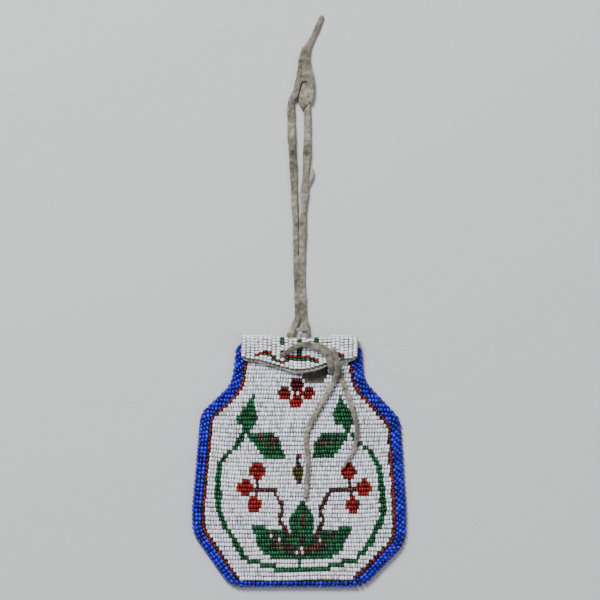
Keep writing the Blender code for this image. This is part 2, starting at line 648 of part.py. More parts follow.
def build_back_panel():
    """Back hide, flat on its back, folded over the mouth and down as the flap."""
    shares = np.array([-1, -0.93, -0.8, -0.55, -0.3, 0, 0.3, 0.55, 0.8, 0.93, 1])
    rows = []
    for y in np.append(panel_rows(), BASE_Y + EDGING_HEIGHT + 2 * GAP):
        x = across(HIDE_LINE, y, shares)
        rows.append(np.column_stack([x, np.full(len(x), y), np.zeros(len(x))]))
    flap_x = FLAP_SHIFT + shares * FLAP_WIDTH / 2
    zeros = np.zeros(len(shares))
    rows.append(np.column_stack([flap_x, zeros + FOLD_CENTRE_Y, zeros]))
    for degrees in (-60, -30, 0):
        angle = math.radians(degrees)
        y = FOLD_CENTRE_Y + FOLD_RADIUS * math.cos(angle)
        z = FOLD_RADIUS * (1 + math.sin(angle))
        rows.append(np.column_stack([flap_x, zeros + y, zeros + z]))
    flap = np.array([flap_rows(x, 0.0)[0] for x in flap_x])
    rows += list(flap.transpose(1, 0, 2))
    mesh = open_grid("back_panel", np.array(rows)[:, ::-1])
    panel = add_object("back_panel", mesh, "hide")
    thicken(panel)
    flat = panel.modifiers.new("one flat face", "DECIMATE")
    flat.decimate_type = "DISSOLVE"
    flat.angle_limit = math.radians(0.2)
    for x, word in ((HANGER_LEFT[0][0], "left"), (HANGER_RIGHT[0][0], "right")):
        name = "cut_fold_hole_" + word
        hole = round_cutter(name, LACE / 2 + GAP, FOLD_HOLE_DEPTH)
        hole.location = (x * MM, FOLD_Y, FOLD_RADIUS)
        hole.rotation_euler = (math.pi / 2, 0, 0)
        boolean(panel, hole, "DIFFERENCE")
    boolean(panel, tie_hole(), "DIFFERENCE")


def round_cutter(name, radius, length):
    """Cylinder that cuts a round hole."""
    bm = bmesh.new()
    bmesh.ops.create_cone(bm, cap_ends=True, segments=12, radius1=radius, radius2=radius,
                          depth=length)
    mesh = bpy.data.meshes.new(name)
    bm.to_mesh(mesh)
    bm.free()
    return add_object(name, mesh)


def tie_hole():
    """Cutter of the long hole in the flap and its beading, where the tie lace comes out."""
    if "cut_tie_hole" in bpy.data.objects:
        return bpy.data.objects["cut_tie_hole"]
    x, y = TIE_HOLE[0] * MM, FOLD_Y - TIE_HOLE[1] * MM
    outline = oval(x, y, TIE + TIE_HOLE_ROOM[0], TIE + TIE_HOLE_ROOM[1])
    low = FRONT_Z + 3 * GAP
    high = 2 * FOLD_RADIUS + BULGE + HEM_LIFT + 2 * BEAD
    return add_object("cut_tie_hole", prism("cut_tie_hole", outline, low, high))


def flap_beads_mesh(name, ridged=True):
    """Mat of the flap's columns, with its ridges or smooth, just over the hide."""
    lines = np.arange(2 * FLAP_COLUMNS + 1)
    crown = np.where(lines % 2 == 1, BEAD, BEAD - FURROW)
    if not ridged:
        lines = np.linspace(0, 2 * FLAP_COLUMNS, 11)
        crown = np.full(len(lines), BEAD - FURROW / 3)
    x = FLAP_SHIFT + (lines - FLAP_COLUMNS) * COLUMN_PITCH / 2
    top = []
    bottom = []
    for at, high in zip(x, crown):
        points, normals = flap_rows(at, HEM_BORDER)
        top.append(points + normals * high)
        bottom.append(points + normals * GAP)
    return slab(name, np.array(top), np.array(bottom))


def flap_place(points):
    """Points of the flap's pattern, in mm from its middle and down from the fold."""
    return [(FLAP_SHIFT + x * MM, FOLD_Y - y * MM) for x, y in points]


SCALLOP_LEFT = [(-18.5, 7.3), (-15.4, 6.2), (-13.3, 5.8), (-11.6, 7.2), (-9.7, 9.1), (-7.8, 10.4),
                (-5.6, 9.3), (-3.4, 8.3), (0.0, 7.9), (1.8, 8.1), (3.9, 8.3), (7.6, 9.4)]
SCALLOP_RIGHT = [(14.8, 7.2), (16.2, 6.6), (17.6, 7.4), (18.6, 7.9)]
GREEN_LEFT = SCALLOP_LEFT[1:5]    # the dark green beads lie only under the arches
GREEN_MIDDLE = SCALLOP_LEFT[6:]
SCALLOP_WIDTH = 1.1 * MM
SCALLOP_STEP = 1.4 * MM           # from the red line to the dark green one under it
BAR_SPOTS = (-7.2, 0.0, 7.2)
BAR_DROP = (0.9, 3.2)
FLAP_STEM_DROP = (4.5, 6.9)


def build_flap_beads():
    """The flap's white columns, and the coloured lines cut out of the same mat."""
    mat = add_object("flap_beads", flap_beads_mesh("flap_beads"), "white")
    low = FRONT_Z
    high = 2 * FOLD_RADIUS + BULGE + HEM_LIFT + 2 * BEAD
    motifs = []
    holes = []
    drop = np.array([0, SCALLOP_STEP])
    for points, word in ((SCALLOP_LEFT, "left"), (SCALLOP_RIGHT, "right")):
        red = band(smooth_route(flap_place(points), 2.0 * MM), SCALLOP_WIDTH)
        motifs.append(("flap_scallop_red_" + word, "brick", red))
        holes.append(("hole_scallop_" + word, red))
    for points, word in ((GREEN_LEFT, "left"), (GREEN_MIDDLE, "middle")):
        route = smooth_route(flap_place(points), 2.0 * MM)
        green = band(route - drop, SCALLOP_WIDTH)
        motifs.append(("flap_scallop_green_" + word, "green", green))
        both = band(route - drop / 2, SCALLOP_WIDTH + SCALLOP_STEP)
        holes.append(("hole_scallop_both_" + word, both))
        holes.append(("hole_scallop_green_" + word, green))
    for x, word in zip(BAR_SPOTS, ("left", "middle", "right")):
        bar = band(flap_place([(x, BAR_DROP[0]), (x, BAR_DROP[1])]), COLUMN_PITCH)
        motifs.append(("flap_bar_" + word, "green", bar))
        holes.append(("hole_bar_" + word, bar))
    stem = flap_place([(0.0, FLAP_STEM_DROP[0]), (0.0, FLAP_STEM_DROP[1])])
    motifs.append(("flap_stem", "green", band(stem, COLUMN_PITCH)))
    holes.append(("hole_flap_stem", band(stem, COLUMN_PITCH)))
    for name, outline in holes:
        hole = union_cutter(name, [grown(outline, GAP)], low, high)
        boolean(mat, hole, "DIFFERENCE")
    for name, colour, outline in motifs:
        shape = union_cutter("shape_" + name, [outline], low, high)
        piece = add_object(name, flap_beads_mesh(name, ridged=False), colour)
        boolean(piece, shape, "INTERSECT")
        if "red" in name:
            boolean(piece, tie_hole(), "DIFFERENCE")
        if "scallop_green" in name:
            boolean(piece, bpy.data.objects["hole_scallop_left"], "DIFFERENCE")
    boolean(mat, tie_hole(), "DIFFERENCE")


def edge_stations():
    """Places, outward normals and crown or groove along the hide's edge, two for each wrap."""
    travelled = np.append(0, np.cumsum(np.linalg.norm(np.diff(HIDE_LINE, axis=0), axis=1)))
    total = travelled[-1]
    wraps = round(total / ROLL_PITCH)
    places = np.linspace(0, total, 2 * wraps + 1)
    line = np.column_stack([np.interp(places, travelled, HIDE_LINE[:, k]) for k in (0, 1)])
    outward = -side_normals(line)
    crowns = np.arange(2 * wraps + 1) % 2
    return line, outward, crowns, places / total


def sweep(name, line, outward, sections):
    """Closed body through one closed section, given as (out, up), at each place of a line."""
    rings = []
    for place_, normal, section in zip(line, outward, sections):
        section = np.array(section)
        flat = place_ + section[:, :1] * normal
        rings.append(np.column_stack([flat, section[:, 1]]))
    count = len(rings[0])
    points = np.concatenate(rings)
    faces = []
    for j in range(len(rings) - 1):
        for i in range(count):
            a = j * count + i
            b = j * count + (i + 1) % count
            faces.append((a, b, b + count, a + count))
    faces.append(tuple(range(count)))
    faces.append(tuple(range(len(points) - count, len(points))))
    return mesh_of(name, points, faces)


def base_shares():
    """Shares of the edge's length where the base begins and ends."""
    travelled = np.append(0, np.cumsum(np.linalg.norm(np.diff(HIDE_LINE, axis=0), axis=1)))
    on_base = np.where(HIDE_LINE[:, 1] < BASE_Y + BASE_CORNER)[0]
    return travelled[on_base[0]] / travelled[-1], travelled[on_base[-1]] / travelled[-1]


def blue_section(crown, reach):
    """C-shaped section of the roll: over the front, round both hide edges, to the back."""
    sink = 0.0 if crown else FURROW
    rim = ROLL_OUT - sink
    top = EDGE_Z - sink
    inner = FRONT_Z + GAP
    hollow = ROLL_HOLLOW * ROLL_OUT
    turn, drop = ROLL_CHAMFER
    return [(reach, inner), (reach, top), (turn * rim, top - drop), (rim, FRONT_Z / 2),
            (ROLL_FOOT * rim, LACE_SIT), (hollow, LACE_SIT), (hollow, inner)]


def build_edging():
    """Blue roll all round, and a red lane along its inner end on both sides."""
    line, outward, crowns, shares = edge_stations()
    start, end = base_shares()
    on_base = (shares > start) & (shares < end)
    reach = np.where(on_base, GAP, -BLUE_REACH)
    sections = [blue_section(crown, r) for crown, r in zip(crowns, reach)]
    add_object("blue_edging", sweep("blue_edging", line, outward, sections), "blue")
    inner, outer = -RED_REACH, -BLUE_REACH - GAP
    bottom = FRONT_Z + GAP
    top = EDGE_Z - FURROW / 3
    section = [(inner, bottom), (inner, top), (outer, top), (outer, bottom)]
    for word, low, high in (("left", 0, start), ("right", end, 1)):
        chosen = (shares >= low) & (shares <= high)
        chosen &= np.arange(len(shares)) % LANE_STEP == 0
        name = "red_edge_" + word
        count = np.count_nonzero(chosen)
        lane = sweep(name, line[chosen], outward[chosen], [section] * count)
        add_object(name, lane, "brick")


# Routes of the laces, in mm from the origin; the third number is the height of their middle
HANGER_LEFT = [(-3.2, 51.9, 2.95), (-3.2, 54.5, 2.9), (-2.5, 60.9, 1.5), (-1.4, 68.9, 1.2),
               (-1.2, 79.8, 1.2), (-1.5, 96.2, 1.3), (-1.7, 104.3, 1.4), (-2.3, 116.8, 1.6),
               (-2.7, 129.7, 1.7), (-3.3, 142.6, 1.7), (-3.2, 154.9, 1.65), (-1.9, 158.9, 1.6),
               (-0.9, 164.3, 1.6)]
HANGER_RIGHT = [(3.2, 51.9, 2.95), (3.2, 54.5, 2.9), (2.6, 60.9, 1.5), (2.0, 68.9, 1.2),
                (1.7, 79.8, 1.2), (1.6, 96.2, 1.3), (2.0, 104.3, 1.4), (2.9, 116.8, 1.6),
                (3.3, 129.7, 1.7), (3.8, 142.6, 1.7), (3.7, 150.9, 1.65), (4.6, 157.4, 1.6),
                (4.7, 164.3, 1.6)]
HANGER_WIDTHS = [0.85, 0.85, 0.8, 0.75, 0.72, 0.8, 0.9, 1.1, 1.2, 1.2, 1.15, 1.1, 1.1]
TIE_ARC = [(-6.9, 45.5, 5.2), (-5.8, 45.9, 7.0), (-3.4, 47.4, 9.6), (0.4, 49.3, 9.7),
           (4.0, 49.8, 9.6), (7.6, 49.1, 9.7), (10.8, 47.3, 9.9), (12.7, 45.1, 10.4),
           (13.1, 42.9, 10.8), (13.4, 41.2, 10.2), (13.4, 39.8, 8.4), (12.6, 38.7, 6.3),
           (11.3, 38.0, 5.0), (9.7, 38.3, 4.5), (8.2, 39.5, 4.4)]
KNOT_ROUTE = [(15.2, 47.0, 9.9), (15.9, 44.0, 10.2), (16.1, 41.2, 9.4), (16.2, 38.4, 7.9),
              (16.3, 36.8, 7.2)]
TAIL_LEFT = [(15.2, 34.9), (10.4, 26.2), (4.8, 16.1), (3.1, 10.1), (3.8, 0.2), (3.4, -9.1),
             (2.7, -16.1)]
TAIL_RIGHT = [(17.9, 34.9), (21.2, 27.7), (23.7, 20.0), (24.9, 13.1), (23.7, 6.2),
              (21.2, 1.5), (19.0, -2.8)]


def lace(name, route, diameter, widths=(1.0, 1.0), spacing=2.6):
    """Round lace along the smooth curve through its route, its width read from a list."""
    points = smooth_route(np.array(route) * MM, spacing * diameter)
    curve = bpy.data.curves.new(name, "CURVE")
    curve.dimensions = "3D"
    curve.bevel_depth = diameter / 2
    curve.bevel_resolution = 2
    curve.use_fill_caps = True
    spline = curve.splines.new("POLY")
    spline.points.add(len(points) - 1)
    shares = np.linspace(0, len(widths) - 1, len(points))
    radii = np.interp(shares, np.arange(len(widths)), widths)
    for knot, point, radius in zip(spline.points, points, radii):
        knot.co = (*point, 1.0)
        knot.radius = radius
    obj = bpy.data.objects.new(name, curve)
    PARTS.objects.link(obj)
    add_material(obj, "lace")
    return obj


def on_field(points, diameter):
    """Middle line of a lace that lies on the rows, in mm."""
    laid = []
    for x, y in points:
        height = EDGE_Z + bulge(np.array(x * MM), np.array(y * MM)) + GAP + diameter / 2
        laid.append((x, y, float(height) / MM))
    return laid


def flat_loft(name, spine, widths, thickness, low):
    """Flat strip of lace: oval sections of changing width along a line on a level."""
    spine = np.array(spine) * MM
    normals = side_normals(spine)
    angles = np.linspace(0, math.tau, 10, endpoint=False) + math.tau / 20
    sections = []
    for width in widths:
        out = width * MM / 2 * np.cos(angles)
        up = low + thickness / 2 + thickness / 2 * np.sin(angles)
        sections.append(np.column_stack([out, up]))
    return sweep(name, spine, normals, sections)


JOIN_SPINE = [(10.4, 191.6), (8.9, 188.4), (7.4, 185.3), (4.7, 180.0), (2.8, 176.5),
              (2.2, 173.9), (2.2, 170.5), (2.2, 166.9), (2.1, 164.7)]
JOIN_WIDTHS = [1.2, 2.0, 2.2, 2.2, 2.6, 4.0, 5.4, 6.6, 6.4]
TONGUE_SPINE = [(2.0, 162.1), (2.6, 159.4), (2.7, 155.4), (2.9, 152.9), (2.9, 152.1)]
TONGUE_WIDTHS = [3.6, 4.2, 4.2, 3.4, 1.6]
JOIN_THICKNESS = 2.0 * MM


def build_laces():
    """Hanger, its slit join and tongue, the tie over the flap, its knot and two tails."""
    lace("hanger_left", HANGER_LEFT, LACE, HANGER_WIDTHS)
    lace("hanger_right", HANGER_RIGHT, LACE, HANGER_WIDTHS)
    join = flat_loft("hanger_join", JOIN_SPINE, JOIN_WIDTHS, JOIN_THICKNESS, LACE_SIT)
    add_object("hanger_join", join, "lace")
    tongue_low = LACE_SIT + max(HANGER_WIDTHS) * LACE + GAP
    tongue = flat_loft("hanger_tongue", TONGUE_SPINE, TONGUE_WIDTHS, HIDE, tongue_low)
    add_object("hanger_tongue", tongue, "lace")
    lace("tie_arc", TIE_ARC, TIE, (0.95, 0.95), 1.6)
    lace("tie_knot", KNOT_ROUTE, KNOT, (0.85, 1.0, 0.95), 0.9)
    lace("tie_tail_left", on_field(TAIL_LEFT, TIE), TIE, (1.0, 1.0, 0.9, 0.7))
    lace("tie_tail_right", on_field(TAIL_RIGHT, TIE), TIE, (1.0, 0.95, 0.8, 0.45))


clear_scene()
PARTS = new_collection("beaded_medicine_bag")
CUTTERS = new_collection("cutters")
build_back_panel()
build_front_panel()
build_field()
build_flap_beads()
build_edging()
build_laces()
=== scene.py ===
"""Looks of the beaded medicine bag: single glass beads sewn on hide, hide lace, pale floor.

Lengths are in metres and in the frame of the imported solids. Every bead is a ring of glass
of its own. Its place follows a row of the front, a column of the flap or a wrap of the
rolled edging, and its colour follows the simple shapes of the floral pattern.
"""
import math

import bpy
import numpy as np
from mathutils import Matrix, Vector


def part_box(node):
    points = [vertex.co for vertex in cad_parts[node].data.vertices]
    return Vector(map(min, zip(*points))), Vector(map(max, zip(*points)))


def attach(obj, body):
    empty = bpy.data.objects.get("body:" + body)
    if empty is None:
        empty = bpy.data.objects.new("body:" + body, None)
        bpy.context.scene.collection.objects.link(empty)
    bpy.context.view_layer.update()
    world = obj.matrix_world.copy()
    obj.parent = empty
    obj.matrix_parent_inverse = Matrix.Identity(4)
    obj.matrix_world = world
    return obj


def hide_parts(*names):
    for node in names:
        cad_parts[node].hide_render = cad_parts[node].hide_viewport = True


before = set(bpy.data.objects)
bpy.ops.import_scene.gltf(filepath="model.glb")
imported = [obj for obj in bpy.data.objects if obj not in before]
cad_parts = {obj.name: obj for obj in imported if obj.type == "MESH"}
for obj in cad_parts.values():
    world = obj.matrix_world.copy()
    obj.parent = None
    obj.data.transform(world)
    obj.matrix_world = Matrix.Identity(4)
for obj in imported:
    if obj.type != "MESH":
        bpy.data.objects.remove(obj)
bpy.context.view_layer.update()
random = np.random.default_rng(53)

MM = 0.001

# Sizes shared with the solids
GAP = 0.3 * MM                    # clearance between them
HIDE = 1.1 * MM
BEAD = 1.8 * MM
ROW_PITCH = 1.805 * MM
COLUMN_PITCH = 1.825 * MM
FIELD_ROWS = 53
FLAP_COLUMNS = 27
ROLL_PITCH = 1.8 * MM
RED_REACH = 2.55 * MM
FIELD_INSET = RED_REACH + GAP
BULGE = 2.5 * MM
FLAP_CLEAR = 0.5 * MM
BASE_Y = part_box("front_panel")[0][1]
MOUTH_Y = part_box("front_panel")[1][1]
FOLD_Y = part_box("back_panel")[1][1]
FRONT_Z = 2 * HIDE + GAP
EDGE_Z = FRONT_Z + BEAD
FOLD_RADIUS = (EDGE_Z + FLAP_CLEAR + HIDE) / 2
FOLD_CENTRE_Y = FOLD_Y - FOLD_RADIUS

# Outline of the front hide: width, height over the base, shift and skew, corner radius
LEVELS = [
    (48.4 * MM, 100.0 * MM, 0.0, 0.0, 14.0 * MM),
    (51.6 * MM, 84.0 * MM, -0.4 * MM, 1.5 * MM, 14.0 * MM),
    (80.4 * MM, 69.5 * MM, 0.7 * MM, -2.3 * MM, 6.0 * MM),
    (86.4 * MM, 31.3 * MM, 0.1 * MM, 0.0, 40.0 * MM),
    (86.4 * MM, 19.4 * MM, 0.1 * MM, -4.2 * MM, 11.0 * MM),
    (54.4 * MM, 0.0, -0.8 * MM, 0.0, 7.0 * MM),
]
SMALLEST_CORNER = 1.0 * MM
CORNER_SHARE = 0.48               # of a straight run, at most, is taken up by an arc
CORNER_POINTS = 12

# Flap
FLAP_SHIFT = 0.3 * MM
FLAP_WIDTH = FLAP_COLUMNS * COLUMN_PITCH + 0.6 * MM
HEM_BORDER = 1.3 * MM
HEM_SIDE = 9.8 * MM
HEM_MIDDLE = 14.9 * MM
HEM_SPREAD = 13.5 * MM
HEM_CORNER = 3.0 * MM
HEM_LIFT = 2.6 * MM
HEM_LIFT_X = 8.5 * MM
HEM_LIFT_SPREAD = 9.0 * MM
HEM_LIFT_DEPTH = 1.2              # the lift grows down to this share of the way to HEM_MIDDLE
HEM_ROUND = 0.98                  # 1 would end the corners' arcs upright

# Beads
BEAD_LENGTH = 1.16 * MM           # from one bead to the next on its thread
BEAD_DIAMETER = 1.9 * MM
LENGTHS = (0.97, 0.045)           # mean and spread, as shares of a bead's length
DIAMETERS = (0.985, 0.035)        # the same of its diameter
WIDEST = 1.05
BEAD_SIDES = 10
FLANK_SHADE_FALL = 3.2                  # how fast the painted shade of a bead's end deepens from its crown to its flanks
LINE_STEP = 0.25 * MM             # between the points of a thin line of the pattern

# The photograph's frame, seen straight down
PIXELS = 600
PIXEL = 0.43 * MM
PHOTO_MIDDLE = (0.5 * MM, 69.16 * MM)
CAMERA_HEIGHT = 1.2
SENSOR = 36.0


def linear(colour):
    """Linear red, green and blue of an sRGB hex colour."""
    channels = [int(colour[k:k + 2], 16) / 255 for k in (1, 3, 5)]
    return [c / 12.92 if c <= 0.04045 else ((c + 0.055) / 1.055) ** 2.4 for c in channels]


def add_camera():
    """A long lens straight over the bag, so that the frame covers the photographed width."""
    camera = bpy.data.cameras.new("camera")
    camera.sensor_width = SENSOR
    camera.lens = SENSOR * CAMERA_HEIGHT / (PIXELS * PIXEL)
    camera.clip_start = 0.01
    obj = bpy.data.objects.new("camera", camera)
    obj.location = (*PHOTO_MIDDLE, CAMERA_HEIGHT)
    bpy.context.scene.collection.objects.link(obj)
    bpy.context.scene.camera = obj


add_camera()


# Materials

def add_node(tree, kind, settings=None, links=None):
    """Add a node, set its properties or inputs, and link inputs to other nodes' outputs."""
    node = tree.nodes.new("ShaderNode" + kind)
    for key, value in (settings or {}).items():
        if isinstance(key, int) or key in node.inputs:
            node.inputs[key].default_value = value
        else:
            setattr(node, key, value)
    for key, (source, output) in (links or {}).items():
        tree.links.new(source.outputs[output], node.inputs[key])
    return node


def set_stops(ramp, stops):
    """Colour stops of a ramp, as (position, sRGB hex)."""
    elements = ramp.color_ramp.elements
    while len(elements) > len(stops):
        elements.remove(elements[-1])
    while len(elements) < len(stops):
        elements.new(1.0)
    for element, (position, colour) in zip(elements, stops):
        element.position = position
        element.color = (*linear(colour), 1.0)


def new_material(name, settings):
    """Material with a Principled shader whose sockets are set."""
    material = bpy.data.materials.new(name)
    material.use_nodes = True
    shader = material.node_tree.nodes["Principled BSDF"]
    for key, value in settings.items():
        shader.inputs[key].default_value = value
    return material, material.node_tree, shader


def glass_beads(name, stops, roughness=0.22, coat=0.35, groove_shade_and_dirt=0.22):
    """Drawn glass cut to seed beads and tumbled: glossy, and no two of quite one tone.

    Each bead carries its own tone from 0 to 1 in an attribute, read through a ramp. A second
    attribute, "rise", is 1 on a bead's crown and round its middle. It falls only at the flanks
    of its ends, where it meets the next bead, and there painted shade of the groove, with dirt,
    darkens the glass down to the share groove_shade_and_dirt. A soft noise of about 2 mm dulls the
    gloss.
    """
    material, tree, shader = new_material(name, {
        "Roughness": roughness, "IOR": 1.52, "Specular IOR Level": 0.32,
        "Coat Weight": coat, "Coat Roughness": 0.12})
    tone = add_node(tree, "Attribute", {"attribute_name": "tone"})
    ramp = add_node(tree, "ValToRGB", links={"Fac": (tone, "Fac")})
    set_stops(ramp, stops)
    # painted shade with dirt: "rise" darkens each bead's end flanks towards groove_shade_and_dirt
    rise = add_node(tree, "Attribute", {"attribute_name": "rise"})
    share = add_node(tree, "MapRange", {"From Min": 0.45, "From Max": 0.93, "To Min": groove_shade_and_dirt,
                                        "To Max": 1.0}, {"Value": (rise, "Fac")})
    shade_and_dirt = add_node(tree, "VectorMath", {"operation": "SCALE"},
                     {0: (ramp, "Color"), "Scale": (share, "Result")})
    tree.links.new(shade_and_dirt.outputs["Vector"], shader.inputs["Base Color"])
    where = add_node(tree, "TexCoord")
    worn = add_node(tree, "TexNoise", {"Scale": 500.0, "Detail": 2.0},
                    {"Vector": (where, "Object")})
    rough = add_node(tree, "MapRange", {"From Min": 0.3, "From Max": 0.7, "To Min": roughness,
                                        "To Max": roughness + 0.18}, {"Value": (worn, "Fac")})
    tree.links.new(rough.outputs["Result"], shader.inputs["Roughness"])
    return material


def tanned_hide(name, stops, nap=0.35, grain=0.25, shadow_and_grime=None):
    """Brain-tanned, smoked hide with a napped suede face.

    Broad stains of about 9 mm, blotches of about 2 mm, shallow creases of about 3 mm, and a
    nap of short fibres, drawn a little coarser than real at a third of a millimetre so that
    it shows. shadow_and_grime is the middle of a darkened patch, painted shadow of the raised
    hem and knot together with grime, which fades out from 5 to 12 mm away.
    """
    material, tree, shader = new_material(name, {
        "Roughness": 0.92, "IOR": 1.45, "Sheen Weight": 0.25, "Sheen Roughness": 0.6})
    where = add_node(tree, "TexCoord")
    stain = add_node(tree, "TexNoise", {"Scale": 110.0, "Detail": 5.0, "Roughness": 0.65},
                     {"Vector": (where, "Object")})
    blotch = add_node(tree, "TexNoise", {"Scale": 620.0, "Detail": 3.0},
                      {"Vector": (where, "Object")})
    mixed = add_node(tree, "Math", {"operation": "MULTIPLY_ADD", 1: 0.6},
                     {0: (blotch, "Fac"), 2: (stain, "Fac")})
    ramp = add_node(tree, "ValToRGB", links={"Fac": (mixed, "Value")})
    set_stops(ramp, stops)
    colour = (ramp, "Color")
    # painted shadow of the raised hem and knot, with grime: the colour darkens near this point
    if shadow_and_grime is not None:
        away = add_node(tree, "VectorMath", {"operation": "DISTANCE", 1: shadow_and_grime},
                        {0: (where, "Object")})
        share = add_node(tree, "MapRange", {"From Min": 5 * MM, "From Max": 12 * MM,
                                            "To Min": 0.25}, {"Value": (away, "Value")})
        shade_and_dirt = add_node(tree, "VectorMath", {"operation": "SCALE"},
                         {0: colour, "Scale": (share, "Result")})
        colour = (shade_and_dirt, "Vector")
    tree.links.new(colour[0].outputs[colour[1]], shader.inputs["Base Color"])
    fibres = add_node(tree, "TexNoise", {"Scale": 3000.0, "Detail": 3.0, "Roughness": 0.7},
                      {"Vector": (where, "Object")})
    creases = add_node(tree, "TexNoise", {"Scale": 380.0, "Detail": 2.0, "Distortion": 0.6},
                       {"Vector": (where, "Object")})
    fine = add_node(tree, "Bump", {"Strength": nap, "Distance": 0.12 * MM},
                    {"Height": (fibres, "Fac")})
    broad = add_node(tree, "Bump", {"Strength": grain, "Distance": 0.5 * MM},
                     {"Height": (creases, "Fac"), "Normal": (fine, "Normal")})
    tree.links.new(broad.outputs["Normal"], shader.inputs["Normal"])
    return material


WHITE_GLASS = glass_beads("chalk_white_glass", [
    (0.0, "#cfc6ae"), (0.04, "#b4b9c2"), (0.10, "#cdd2dc"), (0.55, "#e4e9f3"), (1.0, "#f9fbff")],
    0.25, 0.3, 0.08)
FLAP_GLASS = glass_beads("chalk_white_flap_glass", [
    (0.0, "#d9d2be"), (0.06, "#dde1e8"), (0.55, "#edf1f8"), (1.0, "#fafcff")], 0.25, 0.3, 0.16)
BLUE_GLASS = glass_beads("cobalt_glass", [
    (0.0, "#10066a"), (0.35, "#18099e"), (0.8, "#210fc8"), (1.0, "#3525e4")], 0.26, 0.12, 0.2)
BRICK_GLASS = glass_beads("brick_red_glass", [
    (0.0, "#240403"), (0.5, "#4c0806"), (1.0, "#78160d")], 0.3, 0.0)
RED_GLASS = glass_beads("dark_red_glass", [
    (0.0, "#340302"), (0.3, "#500302"), (0.6, "#720503"), (1.0, "#9a1408")], 0.3, 0.0, 0.3)
BERRY_GLASS = glass_beads("berry_red_glass", [
    (0.0, "#4c0503"), (0.5, "#780804"), (1.0, "#921a0a")], 0.3, 0.05, 0.25)
GREEN_GLASS = glass_beads("bottle_green_glass", [
    (0.0, "#042b16"), (0.5, "#074827"), (1.0, "#116338")], 0.25, 0.15)
OLIVE_GLASS = glass_beads("olive_glass", [
    (0.0, "#28240c"), (1.0, "#463e18")], 0.25, 0.15)
DARK_GLASS = glass_beads("near_black_glass", [
    (0.0, "#1a1016"), (0.6, "#3a1a20"), (1.0, "#6a2822")], 0.25, 0.15)
PALE_GLASS = glass_beads("pale_pink_glass", [
    (0.0, "#d9b9b0"), (1.0, "#e9dedb")])
SMOKED_TONES = [(0.55, "#6c6659"), (0.8, "#8e897d"), (1.05, "#aba79c")]
SMOKED_HIDE = tanned_hide("smoked_hide", SMOKED_TONES)
# the front hide's darkened patch by the window is painted shadow of the raised hem and knot, with
# grime
FRONT_HIDE = tanned_hide("shadowed_grimy_hide", SMOKED_TONES, shadow_and_grime=(9.0 * MM, 37.0 * MM, 5.0 * MM))
HIDE_LACE = tanned_hide("hide_lace", [
    (0.56, "#362f26"), (0.7, "#5d5548"), (0.86, "#7f776a"), (1.04, "#a29b8e")], 0.6, 0.7)


# Shapes shared by the beading

def unit(vectors):
    """Vectors of length one."""
    return vectors / np.linalg.norm(vectors, axis=-1, keepdims=True)


def travelled(line):
    """Distance along a line from its start to each of its points."""
    return np.append(0, np.cumsum(np.linalg.norm(np.diff(line, axis=0), axis=1)))


def length_of(line):
    """Length of a line of points."""
    return float(travelled(line)[-1])


def points_at(line, distances):
    """Points on a line at distances along it."""
    way = travelled(line)
    return np.column_stack([np.interp(distances, way, values) for values in line.T])


def spread(values, shares):
    """Values spread evenly over a length, read at shares of it."""
    return np.interp(shares * (len(values) - 1), np.arange(len(values)), values)


def hide_corners(side_inset):
    """Corners of the front hide, with its sides but not its base moved inwards, and radii."""
    left = [(shift - width / 2, BASE_Y + height - skew / 2)
            for width, height, shift, skew, _ in LEVELS]
    right = [(shift + width / 2, BASE_Y + height + skew / 2)
             for width, height, shift, skew, _ in LEVELS]
    corners = np.array(left + right[::-1])
    radii = [level[-1] for level in LEVELS]
    along = unit(np.diff(corners, axis=0))
    inward = np.column_stack([-along[:, 1], along[:, 0]])
    insets = np.full(len(along), side_inset)
    insets[len(left) - 1] = 0
    starts = corners[:-1] + inward * insets[:, None]
    moved = [starts[0]]
    for k in range(1, len(along)):
        matrix = np.array([along[k - 1], -along[k]]).T
        reach = np.linalg.solve(matrix, starts[k] - starts[k - 1])
        moved.append(starts[k - 1] + along[k - 1] * reach[0])
    moved.append(corners[-1] + inward[-1] * insets[-1])
    return np.array(moved), radii + radii[::-1]


def rounded(corners, radii, side_inset=0.0):
    """Open line through the corners, each one rounded by an arc of its radius."""
    line = [corners[0][None, :]]
    for k in range(1, len(corners) - 1):
        into = corners[k] - corners[k - 1]
        out = corners[k + 1] - corners[k]
        room = CORNER_SHARE * min(np.linalg.norm(into), np.linalg.norm(out))
        into, out = unit(into), unit(out)
        cross = into[0] * out[1] - into[1] * out[0]
        turn = math.atan2(abs(cross), float(into @ out))
        side = 1 if cross > 0 else -1
        radius = max(SMALLEST_CORNER, radii[k] - side * side_inset)
        reach = min(radius * math.tan(turn / 2), room)
        radius = reach / math.tan(turn / 2)
        centre = corners[k] - into * reach + np.array([-into[1], into[0]]) * radius * side
        spoke = corners[k] - into * reach - centre
        angles = side * np.linspace(0, turn, CORNER_POINTS)
        line.append(np.column_stack([
            centre[0] + spoke[0] * np.cos(angles) - spoke[1] * np.sin(angles),
            centre[1] + spoke[0] * np.sin(angles) + spoke[1] * np.cos(angles)]))
    line.append(corners[-1][None, :])
    return np.concatenate(line)


HIDE_LINE = rounded(*hide_corners(0.0))
FIELD_LINE = rounded(*hide_corners(FIELD_INSET), FIELD_INSET)


def sides_at(line, y):
    """Left and right x of an outline at the heights y, parted at the middle of its base."""
    low = int(np.argmin(line[:, 1] + np.abs(line[:, 0]) * 1e-6))
    half = low if line[low, 0] < 0 else low - 1
    left = line[:half + 1][::-1]
    right = line[half + 1:]
    return np.interp(y, left[:, 1], left[:, 0]), np.interp(y, right[:, 1], right[:, 0])


def bulge(x, y):
    """Height of the front's soft bulge: a parabola across the field times one up along it."""
    left, right = sides_at(FIELD_LINE, y)
    share = np.clip(np.where(x < 0, x / left, x / right), -1, 1)
    rise = np.clip((y - BASE_Y) / (MOUTH_Y - BASE_Y), 0, 1)
    return BULGE * (1 - share ** 2) * (1 - (2 * rise - 1) ** 2)


